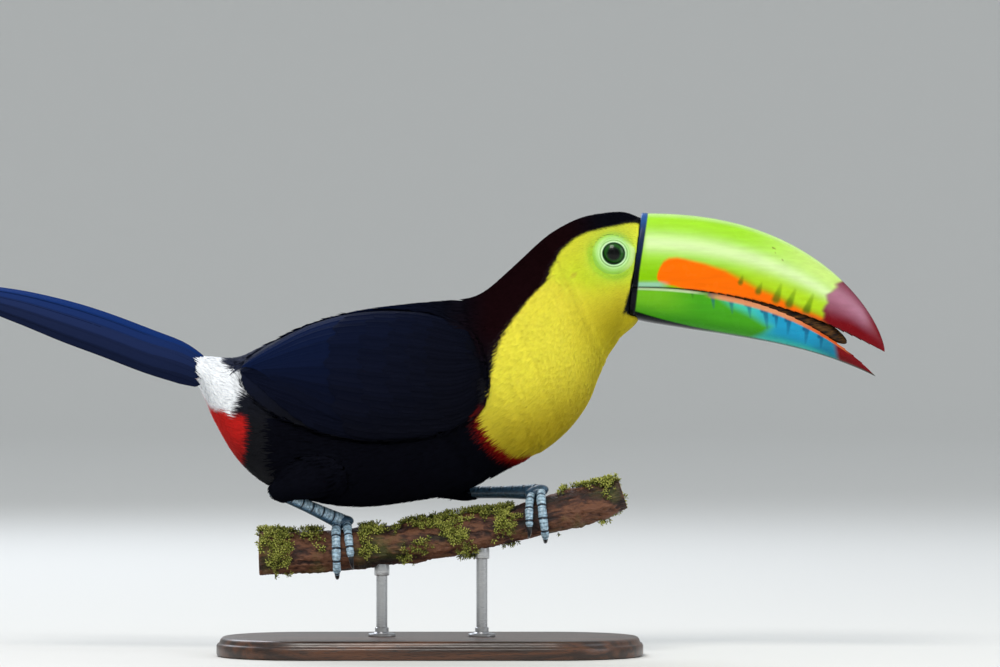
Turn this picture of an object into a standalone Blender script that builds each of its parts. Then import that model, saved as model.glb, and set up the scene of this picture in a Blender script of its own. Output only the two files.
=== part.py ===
"""A keel-billed toucan, life size, leaning forward along a cut branch on a display stand.

The bird faces +X, its left side is +Y and +Z is up. The origin is the centre of the base's
underside. Tables hold millimetres, and MM turns them into the scene's metres.
"""

import math
from collections import namedtuple

import bmesh
import bpy
from mathutils import Vector

MM = 0.001
GAP = 0.3  # clear space between two pieces that meet

# ---------------------------------------------------------------- body, neck and head
# Each section is a slice across the bird: its top and bottom in the middle plane as (x, z),
# its half width, and how box-like it is (2 is an ellipse).
Section = namedtuple("Section", "top bottom half_width box")
BODY = (
    Section((-120.5, 161.0), (-123.5, 142.5), 13.5, 2.2),  # 0 tail root
    Section((-112.5, 160.5), (-117.0, 128.0), 18.5, 2.2),  # 1 tail coverts
    Section((-102.5, 161.0), (-105.0, 107.0), 24.0, 2.1),  # 2 rump
    Section((-86.5, 169.0), (-88.0, 91.0), 30.5, 2.1),  # 3 vent
    Section((-65.0, 179.0), (-65.0, 82.5), 36.0, 2.0),  # 4 lower back
    Section((-40.5, 186.0), (-39.0, 79.0), 39.5, 2.0),  # 5 belly
    Section((-16.0, 189.5), (-11.0, 82.0), 41.0, 2.0),  # 6 middle back
    Section((5.5, 191.5), (17.5, 87.5), 40.0, 2.0),  # 7 shoulders
    Section((20.5, 193.0), (40.5, 98.5), 37.0, 2.0),  # 8 breast
    Section((29.5, 197.0), (59.5, 108.5), 33.0, 2.0),  # 9 neck base
    Section((39.5, 205.5), (74.5, 120.5), 29.5, 2.0),  # 10 bib
    Section((49.0, 214.0), (85.5, 135.5), 27.0, 2.0),  # 11 lower throat
    Section((59.0, 223.0), (91.5, 150.5), 25.0, 2.0),  # 12 throat
    Section((69.0, 230.0), (96.0, 160.5), 24.0, 2.0),  # 13 nape
    Section((81.0, 235.5), (100.0, 166.5), 23.5, 2.1),  # 14 cheek
    Section((93.5, 238.0), (103.0, 171.0), 22.5, 2.1),  # 15 behind the eye
    Section((105.0, 238.5), (106.5, 175.5), 20.5, 2.2),  # 16 forehead
    Section((114.0, 236.5), (106.5, 181.5), 18.5, 2.3),  # 17 bill base
)
BODY_SIDES = 24
RINGS_PER_SECTION = 2
BODY_CUTS = {"rump": (0.0, 2.6), "trunk": (2.6, 8.6), "neck": (8.6, 12.6), "head": (12.6, 17.0)}
YELLOW_FROM = 9.2  # the bib starts at this section on the neck
CAP_ANGLE = 42  # degrees from the crown down to the edge of the black cap

# ---------------------------------------------------------------- bill
CULMEN_BASE, GAPE_BASE, CHIN_BASE = 238.5, 198.7, 182.0  # heights on the head's front plane
UPPER_TIP = (245.7, 163.6)
LOWER_TIP = (240.8, 150.6)
UPPER_HALF_WIDTH = 18.5
LOWER_HALF_WIDTH = 17.2
LOWER_DEPTH = 22.6  # at its deepest, just beyond the base
MOUTH_GROOVE = 1.6  # how far the inside of each mandible is hollowed
BILL_RINGS = 16
BILL_SIDES = 16

# ---------------------------------------------------------------- eyes
EYE_AT = (98.8, 13.1, 216.5)
EYE_RADIUS = 9.5

# ---------------------------------------------------------------- tail
TAIL = (
    Section((-120.7, 161.5), (-123.7, 143.0), 12.0, 2.0),
    Section((-132.5, 169.5), (-135.0, 146.5), 14.0, 2.0),
    Section((-151.0, 176.5), (-154.0, 152.5), 16.0, 2.0),
    Section((-173.0, 184.5), (-176.0, 161.0), 17.0, 2.0),
    Section((-194.5, 191.0), (-197.5, 169.0), 17.0, 2.0),
    Section((-216.0, 196.0), (-218.0, 177.5), 16.0, 2.0),
    Section((-232.0, 198.5), (-233.0, 183.5), 13.5, 2.0),
    Section((-244.0, 199.5), (-244.5, 189.5), 9.0, 2.0),
    Section((-251.5, 198.0), (-251.5, 194.0), 4.0, 2.0),
)
TAIL_HOLLOW = (0.92, 0.76)  # the underside's width and height as shares of the top's

# ---------------------------------------------------------------- wings
WING_SECTIONS = (2.1, 8.1)  # tip and shoulder, on the body's sections
WING_SPREAD = 45  # half of the angle that a wing covers round the body, in degrees
WING_MIDDLE = (47, 30)  # its middle at the tip, from the back's ridge, and the turn to the shoulder
WING_EDGE, WING_SWELL = 0.8, 5.6  # thickness at the edge, and what the shoulder adds
WING_GRID = (15, 8)

# ---------------------------------------------------------------- perch and stand
PERCH_ENDS = (-92.0, 104.0)
PERCH_MID_HEIGHT, PERCH_SLOPE, PERCH_RISE = 62.3, 0.155, 0.0008
PERCH_RADIUS, PERCH_TAPER = 10.6, 0.012
BASE_SIZE = (230.0, 112.0, 10.0)
BASE_CORNER, BASE_BEVEL = 50.0, 1.6
ROD_RADIUS = 3.0
ROD_X = {"stand_rod_rear": -26.0, "stand_rod_front": 28.0}

# ---------------------------------------------------------------- legs
Leg = namedtuple("Leg", "side hip ankle foot_x foot_y toe_lean")
LEGS = {
    "right": Leg(-1, (-44.0, -20.0, 104.0), (-83.0, -24.0, 89.0), -46.5, -1.5, 0.0),
    "left": Leg(1, (-12.0, 20.0, 106.0), (18.0, 22.0, 87.0), 61.0, 1.5, 5.0),
}
THIGH_RADII = (5.0, 12.5, 14.5, 13.5, 11.0, 8.0, 5.5)
TARSUS_RADII = (3.6, 3.1, 3.0, 3.0, 3.3)
PAD = (5.8, 4.4, 3.2)  # half sizes of the sole: along the perch, across it and up
# A toe: which way it wraps (-1 is the near side), on which side of the foot it lies,
# how far round the perch it reaches in degrees, its radius, and its claw's length.
Toe = namedtuple("Toe", "wrap inner reach radius claw")
TOES = {
    "second": Toe(-1, 1, 102, 2.2, 9.0),
    "third": Toe(-1, -1, 136, 2.4, 10.5),
    "fourth": Toe(1, -1, 118, 2.3, 10.0),
    "hind": Toe(1, 1, 84, 2.0, 8.0),
}
TOE_OFFSET = 2.65  # from the foot's middle to a toe's, along the perch
TOE_SPREAD = 1.4  # how much further apart the toes' ends are; a leg's toe_lean moves them back
TOE_START = 12  # degrees from the perch's top, inside the sole
TOE_LIFT = 2.8  # how far a toe's end stands off the bark
CLAW_RADIUS = 1.45


# ================================================================ small tools
def metres(point):
    return Vector(point) * MM


def material(name, colour, roughness, metallic=0.0):
    made = bpy.data.materials.new(name)
    made.use_nodes = True
    shader = made.node_tree.nodes["Principled BSDF"]
    shader.inputs["Base Color"].default_value = (*colour, 1.0)
    shader.inputs["Roughness"].default_value = roughness
    shader.inputs["Metallic"].default_value = metallic
    return made


def add_object(name, mesh, *materials):
    obj = bpy.data.objects.new(name, mesh)
    for each in materials:
        mesh.materials.append(each)
    bpy.context.scene.collection.objects.link(obj)
    return obj


def loft(name, rings, *materials):
    """A closed skin over rings with as many points each, capped flat at both ends."""
    bm = bmesh.new()
    loops = [[bm.verts.new(metres(p)) for p in ring] for ring in rings]
    for near, far in zip(loops, loops[1:]):
        for k in range(len(near)):
            bm.faces.new((near[k - 1], near[k], far[k], far[k - 1]))
    bm.faces.new(loops[0])
    bm.faces.new(loops[-1])
    bmesh.ops.recalc_face_normals(bm, faces=bm.faces)
    mesh = bpy.data.meshes.new(name)
    bm.to_mesh(mesh)
    bm.free()
    mesh.shade_smooth()
    mesh.set_sharp_from_angle(angle=math.radians(50))
    return add_object(name, mesh, *materials)


def helper(obj):
    """Keeps a cutter out of the model."""
    obj.hide_render = True
    obj.display_type = "WIRE"
    return obj


def combine(obj, other, operation="DIFFERENCE"):
    modifier = obj.modifiers.new(f"{operation.lower()} {other.name}", "BOOLEAN")
    modifier.operation = operation
    modifier.solver = "EXACT"
    modifier.object = other


def between(values, at):
    """Catmull-Rom through a list of equal-length number lists, at a fractional index."""
    i = min(int(at), len(values) - 2)
    u = at - i
    a, b, c, d = (values[min(max(i + k, 0), len(values) - 1)] for k in (-1, 0, 1, 2))
    if i == 0:
        a = [2 * q - r for q, r in zip(b, c)]
    if i == len(values) - 2:
        d = [2 * r - q for q, r in zip(b, c)]
    return [
        q + 0.5 * u * (r - p + u * (2 * p - 5 * q + 4 * r - s + u * (3 * (q - r) + s - p)))
        for p, q, r, s in zip(a, b, c, d)
    ]


def section_at(table, at):
    row = between([[*s.top, *s.bottom, s.half_width, s.box] for s in table], at)
    return Section(tuple(row[0:2]), tuple(row[2:4]), row[4], row[5])


def section_point(section, angle, grow=0.0):
    """A point of a section's outline, with the angle counted from its top."""
    power = 2 / section.box
    across = math.copysign(abs(math.sin(angle)) ** power, math.sin(angle))
    up = math.copysign(abs(math.cos(angle)) ** power, math.cos(angle))
    top, bottom = Vector(section.top), Vector(section.bottom)
    half = (top - bottom) / 2
    half *= 1 + grow / half.length
    middle = (top + bottom) / 2 + half * up
    return Vector((middle.x, (section.half_width + grow) * across, middle.y))


def steps(first, last, count):
    return [first + (last - first) * i / count for i in range(count + 1)]


# ================================================================ body, neck and head
def body_ring(at, shift=0.0, grow=0.0):
    """The body's outline at a section, moved along the body by shift."""
    section = section_at(BODY, at)
    axis = Vector((section.top[1] - section.bottom[1], section.bottom[0] - section.top[0]))
    axis = axis.normalized() * shift
    return [
        section_point(section, math.tau * k / BODY_SIDES, grow) + Vector((axis.x, 0, axis.y))
        for k in range(BODY_SIDES)
    ]


def body_part(name, first, last, *materials, grow=0.0):
    count = round((last - first) * RINGS_PER_SECTION)
    places = steps(first, last, count)
    rings = [body_ring(at, grow=grow) for at in places]
    rings[0] = body_ring(first, GAP / 2, grow)
    rings[-1] = body_ring(last, -GAP / 2, grow)
    return loft(name, rings, *materials)


def paint_top(obj, angle, first_x=-math.inf):
    """Gives a body part's second material to its faces near the ridge of its back."""
    limit = math.cos(math.radians(angle))
    top = max(v.co.z for v in obj.data.vertices)
    low = min(v.co.z for v in obj.data.vertices)
    for face in obj.data.polygons:
        height = (face.center.z - low) / (top - low) * 2 - 1
        if height > limit or face.center.x < first_x:
            face.material_index = 1


def make_body(finishes):
    plumage, yellow = finishes["black"], finishes["yellow"]
    rump = body_part("rump", *BODY_CUTS["rump"], finishes["white"], finishes["red"])
    for face in rump.data.polygons:
        face.material_index = int(face.normal.z < -0.35)
    body_part("trunk", *BODY_CUTS["trunk"], plumage)
    neck = body_part("neck", *BODY_CUTS["neck"], yellow, plumage)
    paint_top(neck, CAP_ANGLE, section_at(BODY, YELLOW_FROM).top[0] * MM)
    head = body_part("head", *BODY_CUTS["head"], yellow, plumage)
    paint_top(head, CAP_ANGLE)
    return head


# ================================================================ bill
def from_base(height, tip_x, t):
    """How far forward a line of the bill is, if it starts at a height of the head's front plane."""
    top, bottom = Vector(BODY[-1].top), Vector(BODY[-1].bottom)
    base_x = bottom.lerp(top, (height - bottom.y) / (top.y - bottom.y)).x + GAP / 2
    return base_x + (tip_x - base_x) * t


def culmen(t):
    """The ridge of the upper mandible, which falls ever faster to the tip."""
    height = (1 - t**2.35) ** 0.66
    z = UPPER_TIP[1] + (CULMEN_BASE - UPPER_TIP[1]) * height
    return Vector((from_base(CULMEN_BASE, UPPER_TIP[0], t), z))


def upper_edge(t):
    """The cutting edge of the upper mandible."""
    drop = (GAPE_BASE - UPPER_TIP[1]) * t**2.2
    return Vector((from_base(GAPE_BASE, UPPER_TIP[0], t), GAPE_BASE - drop))


def lower_edge(t):
    """The cutting edge of the lower mandible, which leaves the upper one towards the tip."""
    start = GAPE_BASE - GAP
    drop = (GAPE_BASE - UPPER_TIP[1]) * t**2.2 + (UPPER_TIP[1] - LOWER_TIP[1]) * t**4
    return Vector((from_base(start, LOWER_TIP[0], t), start - drop))


def keel(t):
    """The lower edge of the lower mandible, from the chin to the tip."""
    missing = LOWER_DEPTH - (GAPE_BASE - GAP - CHIN_BASE)
    depth = (LOWER_DEPTH - missing * (1 - t) ** 5) * (1 - t**2.8)
    return Vector((from_base(CHIN_BASE, LOWER_TIP[0], t), lower_edge(t).y - depth))


def mandible_ring(edge, ridge, half_width):
    """An arch from one cutting edge over the ridge to the other, and the hollowed mouth side."""
    arch = []
    for k in range(BILL_SIDES + 1):
        angle = math.pi * k / BILL_SIDES
        across = math.copysign(abs(math.cos(angle)) ** 0.8, math.cos(angle))
        rise = math.sin(angle) ** 0.8
        spot = edge + (ridge - edge) * rise
        arch.append((spot.x, half_width * across, spot.y))
    height = (ridge - edge).length
    hollow = edge + (ridge - edge).normalized() * min(MOUTH_GROOVE, 0.3 * height)
    groove = [(hollow.x, half_width * share, hollow.y) for share in (-0.72, 0.0, 0.72)]
    return arch + groove


def mandible(name, edge, ridge, half_width, finish):
    rings = []
    for i in range(BILL_RINGS + 1):
        t = 0.997 * math.sin(math.pi / 2 * i / BILL_RINGS)
        width = half_width * (1 - t * t) ** 0.62
        rings.append(mandible_ring(edge(t), ridge(t), width))
    return loft(name, rings, finish)


def make_bill(finishes):
    mandible("bill_upper", upper_edge, culmen, UPPER_HALF_WIDTH, finishes["bill_upper"])
    mandible("bill_lower", lower_edge, keel, LOWER_HALF_WIDTH, finishes["bill_lower"])


# ================================================================ eyes
def ball(name, centre, radius, *materials, sides=14):
    bm = bmesh.new()
    bmesh.ops.create_uvsphere(bm, u_segments=sides, v_segments=sides * 2 // 3, radius=radius * MM)
    mesh = bpy.data.meshes.new(name)
    bm.to_mesh(mesh)
    bm.free()
    mesh.shade_smooth()
    obj = add_object(name, mesh, *materials)
    obj.location = metres(centre)
    return obj


def make_eyes(head, finishes):
    for name, side in (("left", 1), ("right", -1)):
        centre = (EYE_AT[0], EYE_AT[1] * side, EYE_AT[2])
        eye = ball(f"eye_{name}", centre, EYE_RADIUS, finishes["eye"])
        eye.rotation_euler.x = math.radians(90)
        socket = helper(ball(f"socket_{name}", centre, EYE_RADIUS + GAP))
        socket.rotation_euler.x = math.radians(90)
        combine(head, socket)


# ================================================================ tail
def tail_ring(at):
    """A roof of folded feathers: an arch over a lower, narrower arch."""
    section = section_at(TAIL, at)
    top, bottom = Vector(section.top), Vector(section.bottom)
    ring = []
    for shares, turn in (((1.0, 1.0), 1), (TAIL_HOLLOW, -1)):
        for k in range(9):
            angle = math.radians(-90 + 22.5 * k) * turn
            spot = bottom + (top - bottom) * shares[1] * max(0.0, math.cos(angle))
            ring.append((spot.x, section.half_width * shares[0] * math.sin(angle), spot.y))
    return ring


def make_tail(finishes):
    rings = [tail_ring(at) for at in steps(0.0, len(TAIL) - 1.0, 2 * (len(TAIL) - 1))]
    loft("tail", rings, finishes["tail"])


# ================================================================ wings
def on_body(at, angle, side, lift):
    """A point over the body's surface. The angle is from the back's ridge down one side."""
    tiny = 0.01
    here = section_point(section_at(BODY, at), angle)
    along = section_point(section_at(BODY, at + tiny), angle) - here
    round_it = section_point(section_at(BODY, at), angle + tiny) - here
    here += along.cross(round_it).normalized() * lift
    return (here.x, here.y * side, here.z)


def wing_point(u, v, side, outer):
    """u runs from the wing's tip to the shoulder, and v from its upper to its lower edge."""
    round_off = math.sin(math.pi * u) ** 0.35 if 0 < u < 1 else 0.0
    middle = WING_MIDDLE[0] + WING_MIDDLE[1] * u
    angle = math.radians(middle + v * max(1.5, WING_SPREAD * round_off))
    at = WING_SECTIONS[0] + (WING_SECTIONS[1] - WING_SECTIONS[0]) * u
    swell = WING_SWELL * math.sqrt(1 - v * v) * round_off * (0.4 + 0.6 * u)
    return on_body(at, angle, side, 2 * GAP + (WING_EDGE + swell if outer else 0.0))


def make_wing(name, side, finish):
    rows, columns = WING_GRID
    rings = []
    for i in range(rows + 1):
        u = (1 - math.cos(math.pi * i / rows)) / 2
        across = steps(-1.0, 1.0, columns)
        outer = [wing_point(u, v, side, True) for v in across]
        inner = [wing_point(u, v, side, False) for v in reversed(across)]
        rings.append(outer + inner)
    loft(name, rings, finish)


# ================================================================ perch and stand
def perch_centre(x):
    return Vector((x, 0, PERCH_MID_HEIGHT + PERCH_SLOPE * x + PERCH_RISE * x * x))


def perch_up(x):
    return Vector((-PERCH_SLOPE - 2 * PERCH_RISE * x, 0, 1)).normalized()


def perch_radius(x):
    return PERCH_RADIUS - PERCH_TAPER * x + 0.35 * math.sin(x / 9.0)


def round_perch(x, angle, lift):
    """A point near the bark: the angle is from the top, and -90 degrees is the near side (-Y)."""
    out = perch_up(x) * math.cos(angle) + Vector((0, math.sin(angle), 0))
    return perch_centre(x) + out * (perch_radius(x) + lift)


def perch_solid(name, grow, *materials):
    rings = [
        [round_perch(x, math.tau * k / 14, grow) for k in range(14)]
        for x in steps(*PERCH_ENDS, 20)
    ]
    return loft(name, rings, *materials)


def make_stand(finishes):
    perch_solid("perch_branch", 0.0, finishes["bark"])
    bark_cutter = helper(perch_solid("bark_cutter", GAP))
    length, width, height = (size * MM for size in BASE_SIZE)
    bm = bmesh.new()
    bmesh.ops.create_cube(bm, size=1.0)
    for v in bm.verts:
        v.co = Vector((v.co.x * length, v.co.y * width, (v.co.z + 0.5) * height))
    uprights = [e for e in bm.edges if abs(e.verts[0].co.z - e.verts[1].co.z) > height / 2]
    bmesh.ops.bevel(
        bm, geom=uprights, offset=BASE_CORNER * MM, segments=8, profile=0.5, affect="EDGES"
    )
    rim = [e for e in bm.edges if all(abs(v.co.z - height) < 1e-6 for v in e.verts)]
    bmesh.ops.bevel(bm, geom=rim, offset=BASE_BEVEL * MM, segments=2, profile=0.5, affect="EDGES")
    mesh = bpy.data.meshes.new("stand_base")
    bm.to_mesh(mesh)
    bm.free()
    mesh.shade_smooth()
    mesh.set_sharp_from_angle(angle=math.radians(30))
    add_object("stand_base", mesh, finishes["base"])
    for name, x in ROD_X.items():
        foot, head = BASE_SIZE[2] + GAP, perch_centre(x).z
        ring = [(math.cos(math.tau * k / 20), math.sin(math.tau * k / 20)) for k in range(20)]
        rings = [[(x + ROD_RADIUS * c, ROD_RADIUS * s, z) for c, s in ring] for z in (foot, head)]
        rod = loft(name, rings, finishes["rod"])
        combine(rod, bark_cutter)


# ================================================================ legs
def tube(name, path, radii, *materials, sides=8):
    """A round tube along a path of points, with a radius for each."""
    rings = []
    for i, here in enumerate(path):
        ahead = (path[min(i + 1, len(path) - 1)] - path[max(i - 1, 0)]).normalized()
        across = ahead.orthogonal().normalized() if i == 0 else across - ahead * across.dot(ahead)
        across.normalize()
        beside = ahead.cross(across)
        turn = [math.tau * k / sides for k in range(sides)]
        rings.append([here + (across * math.cos(a) + beside * math.sin(a)) * radii[i] for a in turn])
    return loft(name, rings, *materials)


def foot_centre(leg):
    sideways = math.asin(leg.foot_y / (perch_radius(leg.foot_x) + PAD[2]))
    return round_perch(leg.foot_x, sideways, GAP + PAD[2])


def leg_solid(name, leg, grow, *materials):
    """The bare lower leg from the ankle to the sole, made larger by grow for a cutter."""
    ankle, foot = Vector(leg.ankle), foot_centre(leg)
    count = len(TARSUS_RADII) - 1
    shin = [ankle.lerp(foot, i / count) for i in range(count + 1)]
    knob = (shin[0] - shin[1]).normalized() * 2.0
    path = [shin[0] + knob, *shin]
    radii = [r + grow for r in (TARSUS_RADII[0] * 0.7, *TARSUS_RADII)]
    obj = tube(name, path, radii, *materials, sides=10)
    sole = ball(f"sole_of_{name}", foot, 1.0, *materials)
    sole.scale = [half + grow for half in PAD]
    sole.rotation_euler.y = math.atan2(perch_up(leg.foot_x).x, perch_up(leg.foot_x).z)
    combine(obj, helper(sole), "UNION")
    return obj


def toe_path(leg, toe, first, last, lift_first, lift_last, count):
    """Points round the perch, between two angles and two heights over the bark."""
    points = []
    for share in steps(0.0, 1.0, count):
        angle = first + (last - first) * share
        out = toe.inner * leg.side * -1 * (TOE_OFFSET + TOE_SPREAD * angle / 120)
        x = leg.foot_x + out - leg.toe_lean * angle / 120
        lift = lift_first + (lift_last - lift_first) * share**2
        points.append(round_perch(x, math.radians(angle) * toe.wrap, lift))
    return points


def make_foot(side_name, leg, cutter, finishes):
    for toe_name, toe in TOES.items():
        clear = GAP + toe.radius
        count = max(5, round(toe.reach / 15))
        path = toe_path(leg, toe, TOE_START, toe.reach, clear, clear + TOE_LIFT, count)
        joints = [0.08 * math.cos(math.tau * 3 * i / count) for i in range(count + 1)]
        radii = [toe.radius * (1 - 0.2 * i / count) * (1 + joints[i]) for i in range(count + 1)]
        digit = tube(f"toe_{toe_name}_{side_name}", path, radii, finishes["leg"])
        combine(digit, cutter)
        start = toe.reach + math.degrees(2.5 * GAP / (PERCH_RADIUS + clear))
        end = start + math.degrees(toe.claw / (PERCH_RADIUS + clear))
        claw = toe_path(leg, toe, start, end, clear + TOE_LIFT, GAP + 0.8, 5)
        narrow = [CLAW_RADIUS * (1 - 0.85 * i / 5) for i in range(6)]
        tube(f"claw_{toe_name}_{side_name}", claw, narrow, finishes["claw"], sides=6)


def make_legs(finishes):
    trunk_cutter = helper(body_part("trunk_cutter", *BODY_CUTS["trunk"], grow=GAP * 1.5))
    rump_cutter = helper(body_part("rump_cutter", *BODY_CUTS["rump"], grow=GAP * 1.5))
    for name, leg in LEGS.items():
        leg_solid(f"tarsus_{name}", leg, 0.0, finishes["leg"])
        cutter = helper(leg_solid(f"shin_cutter_{name}", leg, GAP))
        hip, ankle = Vector(leg.hip), Vector(leg.ankle)
        path = [hip.lerp(ankle, share) for share in steps(0.0, 1.0, len(THIGH_RADII) - 1)]
        thigh = tube(f"thigh_{name}", path, THIGH_RADII, finishes["black"], sides=14)
        combine(thigh, trunk_cutter)
        combine(thigh, rump_cutter)
        combine(thigh, cutter)
        make_foot(name, leg, cutter, finishes)


# ================================================================ the whole
def make_finishes():
    return {
        "black": material("black plumage", (0.012, 0.012, 0.018), 0.6),
        "yellow": material("yellow plumage", (0.87, 0.72, 0.05), 0.65),
        "white": material("white plumage", (0.85, 0.85, 0.83), 0.7),
        "red": material("red plumage", (0.6, 0.02, 0.015), 0.65),
        "tail": material("tail feathers", (0.012, 0.02, 0.05), 0.4),
        "bill_upper": material("upper mandible horn", (0.42, 0.72, 0.08), 0.22),
        "bill_lower": material("lower mandible horn", (0.16, 0.6, 0.25), 0.22),
        "eye": material("eye", (0.01, 0.05, 0.02), 0.08),
        "leg": material("scaly leg skin", (0.28, 0.5, 0.68), 0.4),
        "claw": material("claw horn", (0.02, 0.02, 0.025), 0.3),
        "bark": material("mossy bark", (0.12, 0.06, 0.03), 0.9),
        "base": material("stained hardwood", (0.05, 0.03, 0.02), 0.4),
        "rod": material("brushed steel", (0.55, 0.55, 0.56), 0.35, 1.0),
    }


def main():
    for obj in list(bpy.data.objects):
        bpy.data.objects.remove(obj)
    finishes = make_finishes()
    head = make_body(finishes)
    make_bill(finishes)
    make_eyes(head, finishes)
    make_tail(finishes)
    make_wing("wing_left", 1, finishes["black"])
    make_wing("wing_right", -1, finishes["black"])
    make_stand(finishes)
    make_legs(finishes)


main()
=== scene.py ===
"""The looks of a keel-billed toucan, life size, perched on a cut branch on a display stand.

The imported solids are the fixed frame. Over them come one skin with its markings, a coat of
solid feathers, laid flight feathers, horn, eyes, scaly feet, mossy bark and the stand.
Tables hold millimetres in the frame's axes: +X is forward, +Y is the bird's left, +Z is up.
"""

import math
from collections import namedtuple
from contextlib import contextmanager
from functools import partial

import bmesh
import bpy
import numpy as np
from bpy.props import FloatProperty, FloatVectorProperty, PointerProperty
from mathutils import Matrix, Vector, kdtree, noise


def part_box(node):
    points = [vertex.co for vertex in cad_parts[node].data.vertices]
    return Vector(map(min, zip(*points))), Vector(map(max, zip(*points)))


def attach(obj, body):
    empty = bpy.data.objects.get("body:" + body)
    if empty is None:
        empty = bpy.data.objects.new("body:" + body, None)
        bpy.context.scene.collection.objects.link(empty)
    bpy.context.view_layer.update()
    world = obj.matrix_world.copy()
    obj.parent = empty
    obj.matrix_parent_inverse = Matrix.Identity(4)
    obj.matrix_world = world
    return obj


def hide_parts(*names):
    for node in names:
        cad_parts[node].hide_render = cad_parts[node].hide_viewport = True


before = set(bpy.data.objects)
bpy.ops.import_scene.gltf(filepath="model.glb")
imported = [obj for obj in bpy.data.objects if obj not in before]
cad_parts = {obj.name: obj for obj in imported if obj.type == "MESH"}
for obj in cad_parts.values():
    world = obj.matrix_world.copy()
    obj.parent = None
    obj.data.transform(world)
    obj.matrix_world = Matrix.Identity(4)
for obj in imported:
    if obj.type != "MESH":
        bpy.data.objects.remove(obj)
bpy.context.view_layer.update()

bl_info = {
    "name": "Keel-billed toucan",
    "version": (1, 0, 0),
    "blender": (4, 5, 0),
    "location": "3D View > Sidebar > Toucan",
    "description": "Dresses the toucan's solids in skin, feathers, horn, bark and wood",
    "category": "Add Mesh",
}

MM = 0.001

# -------- body plan, in millimetres
# Slices across the bird: top x, top z, bottom x, bottom z, half width, and how box-like.
BODY = np.array(
    [
        (-120.5, 161.0, -123.5, 142.5, 13.5, 2.2),  # 0 tail root
        (-112.5, 160.5, -117.0, 128.0, 18.5, 2.2),  # 1 tail coverts
        (-102.5, 161.0, -105.0, 107.0, 24.0, 2.1),  # 2 rump
        (-86.5, 169.0, -88.0, 91.0, 30.5, 2.1),  # 3 vent
        (-65.0, 179.0, -65.0, 82.5, 36.0, 2.0),  # 4 lower back
        (-40.5, 186.0, -39.0, 79.0, 39.5, 2.0),  # 5 belly
        (-16.0, 189.5, -11.0, 82.0, 41.0, 2.0),  # 6 middle back
        (5.5, 191.5, 17.5, 87.5, 40.0, 2.0),  # 7 shoulders
        (20.5, 193.0, 40.5, 98.5, 37.0, 2.0),  # 8 breast
        (29.5, 197.0, 59.5, 108.5, 33.0, 2.0),  # 9 neck base
        (39.5, 205.5, 74.5, 120.5, 29.5, 2.0),  # 10 bib
        (49.0, 214.0, 85.5, 135.5, 27.0, 2.0),  # 11 lower throat
        (59.0, 223.0, 91.5, 150.5, 25.0, 2.0),  # 12 throat
        (69.0, 230.0, 96.0, 160.5, 24.0, 2.0),  # 13 nape
        (81.0, 235.5, 100.0, 166.5, 23.5, 2.1),  # 14 cheek
        (93.5, 238.0, 103.0, 171.0, 22.5, 2.1),  # 15 behind the eye
        (105.0, 238.5, 106.5, 175.5, 20.5, 2.2),  # 16 forehead
        (114.0, 236.5, 106.5, 181.5, 18.5, 2.3),  # 17 bill base
    ]
)
TAIL = np.array(
    [
        (-120.7, 161.5, -123.7, 143.0, 12.0, 2.0),
        (-132.5, 169.5, -135.0, 146.5, 14.0, 2.0),
        (-151.0, 176.5, -154.0, 152.5, 16.0, 2.0),
        (-173.0, 184.5, -176.0, 161.0, 17.0, 2.0),
        (-194.5, 191.0, -197.5, 169.0, 17.0, 2.0),
        (-216.0, 196.0, -218.0, 177.5, 16.0, 2.0),
        (-232.0, 198.5, -233.0, 183.5, 13.5, 2.0),
        (-244.0, 199.5, -244.5, 189.5, 9.0, 2.0),
        (-251.5, 198.0, -251.5, 194.0, 4.0, 2.0),
    ]
)
LAST = len(BODY) - 1
FLESH = np.vstack([TAIL[2], TAIL[1], BODY])  # the stub under the tail coverts, then the body
STUB, STUB_END = 2, -1.7
HEAD_FROM = 12.6  # the section where the head's own small feathers start
WING_SECTIONS = (2.1, 8.1)  # wing tip and shoulder
WING_SPREAD = 45  # half of the angle that a wing covers round the body
WING_MIDDLE = (47, 30)
WING_EDGE, WING_SWELL = 0.8, 5.6
EYE_AT = (98.8, 13.1, 216.5)
EYE_RADIUS = 9.5
BARE_SKIN = 10.7  # radius of the bare ring round the eye
CHIN_AT, CHIN_RADII, CHIN_TILT = (106.2, 0.0, 179.0), (9.5, 12.5, 3.9), 41.6

# Bill lines: heights on the head's front plane, tips, widths and depth.
CULMEN_BASE, GAPE_BASE, CHIN_BASE = 238.5, 198.7, 182.0
UPPER_TIP, LOWER_TIP = (245.7, 163.6), (240.8, 150.6)
UPPER_HALF_WIDTH, LOWER_HALF_WIDTH = 18.5, 17.2
LOWER_DEPTH = 22.6
MOUTH_GAP, MOUTH_GROOVE = 0.3, 1.6

# Perch and legs.
PERCH_ENDS = (-92.0, 104.0)
PERCH_MID_HEIGHT, PERCH_SLOPE, PERCH_RISE = 62.3, 0.155, 0.0008
PERCH_RADIUS, PERCH_TAPER = 10.6, 0.012
Leg = namedtuple("Leg", "side hip ankle foot_x foot_y toe_lean")
LEGS = {
    "right": Leg(-1, (-44.0, -20.0, 104.0), (-83.0, -24.0, 89.0), -46.5, -1.5, 0.0),
    "left": Leg(1, (-12.0, 20.0, 106.0), (18.0, 22.0, 87.0), 61.0, 1.5, 5.0),
}
THIGH_RADII = (5.0, 12.5, 14.5, 13.5, 11.0, 8.0, 5.5)
ANKLE = ((-5.2, 0.8), (-4.6, 2.6), (-3.2, 4.3), (-1.2, 5.3), (1.0, 5.4), (4.0, 4.9), (10.0, 4.7))
SHANK_RADII = (3.6, 3.4, 3.4, 3.8, 4.5)
SOLE = (5.8, 4.4, 3.2)
Toe = namedtuple("Toe", "wrap inner reach radius claw")
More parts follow.
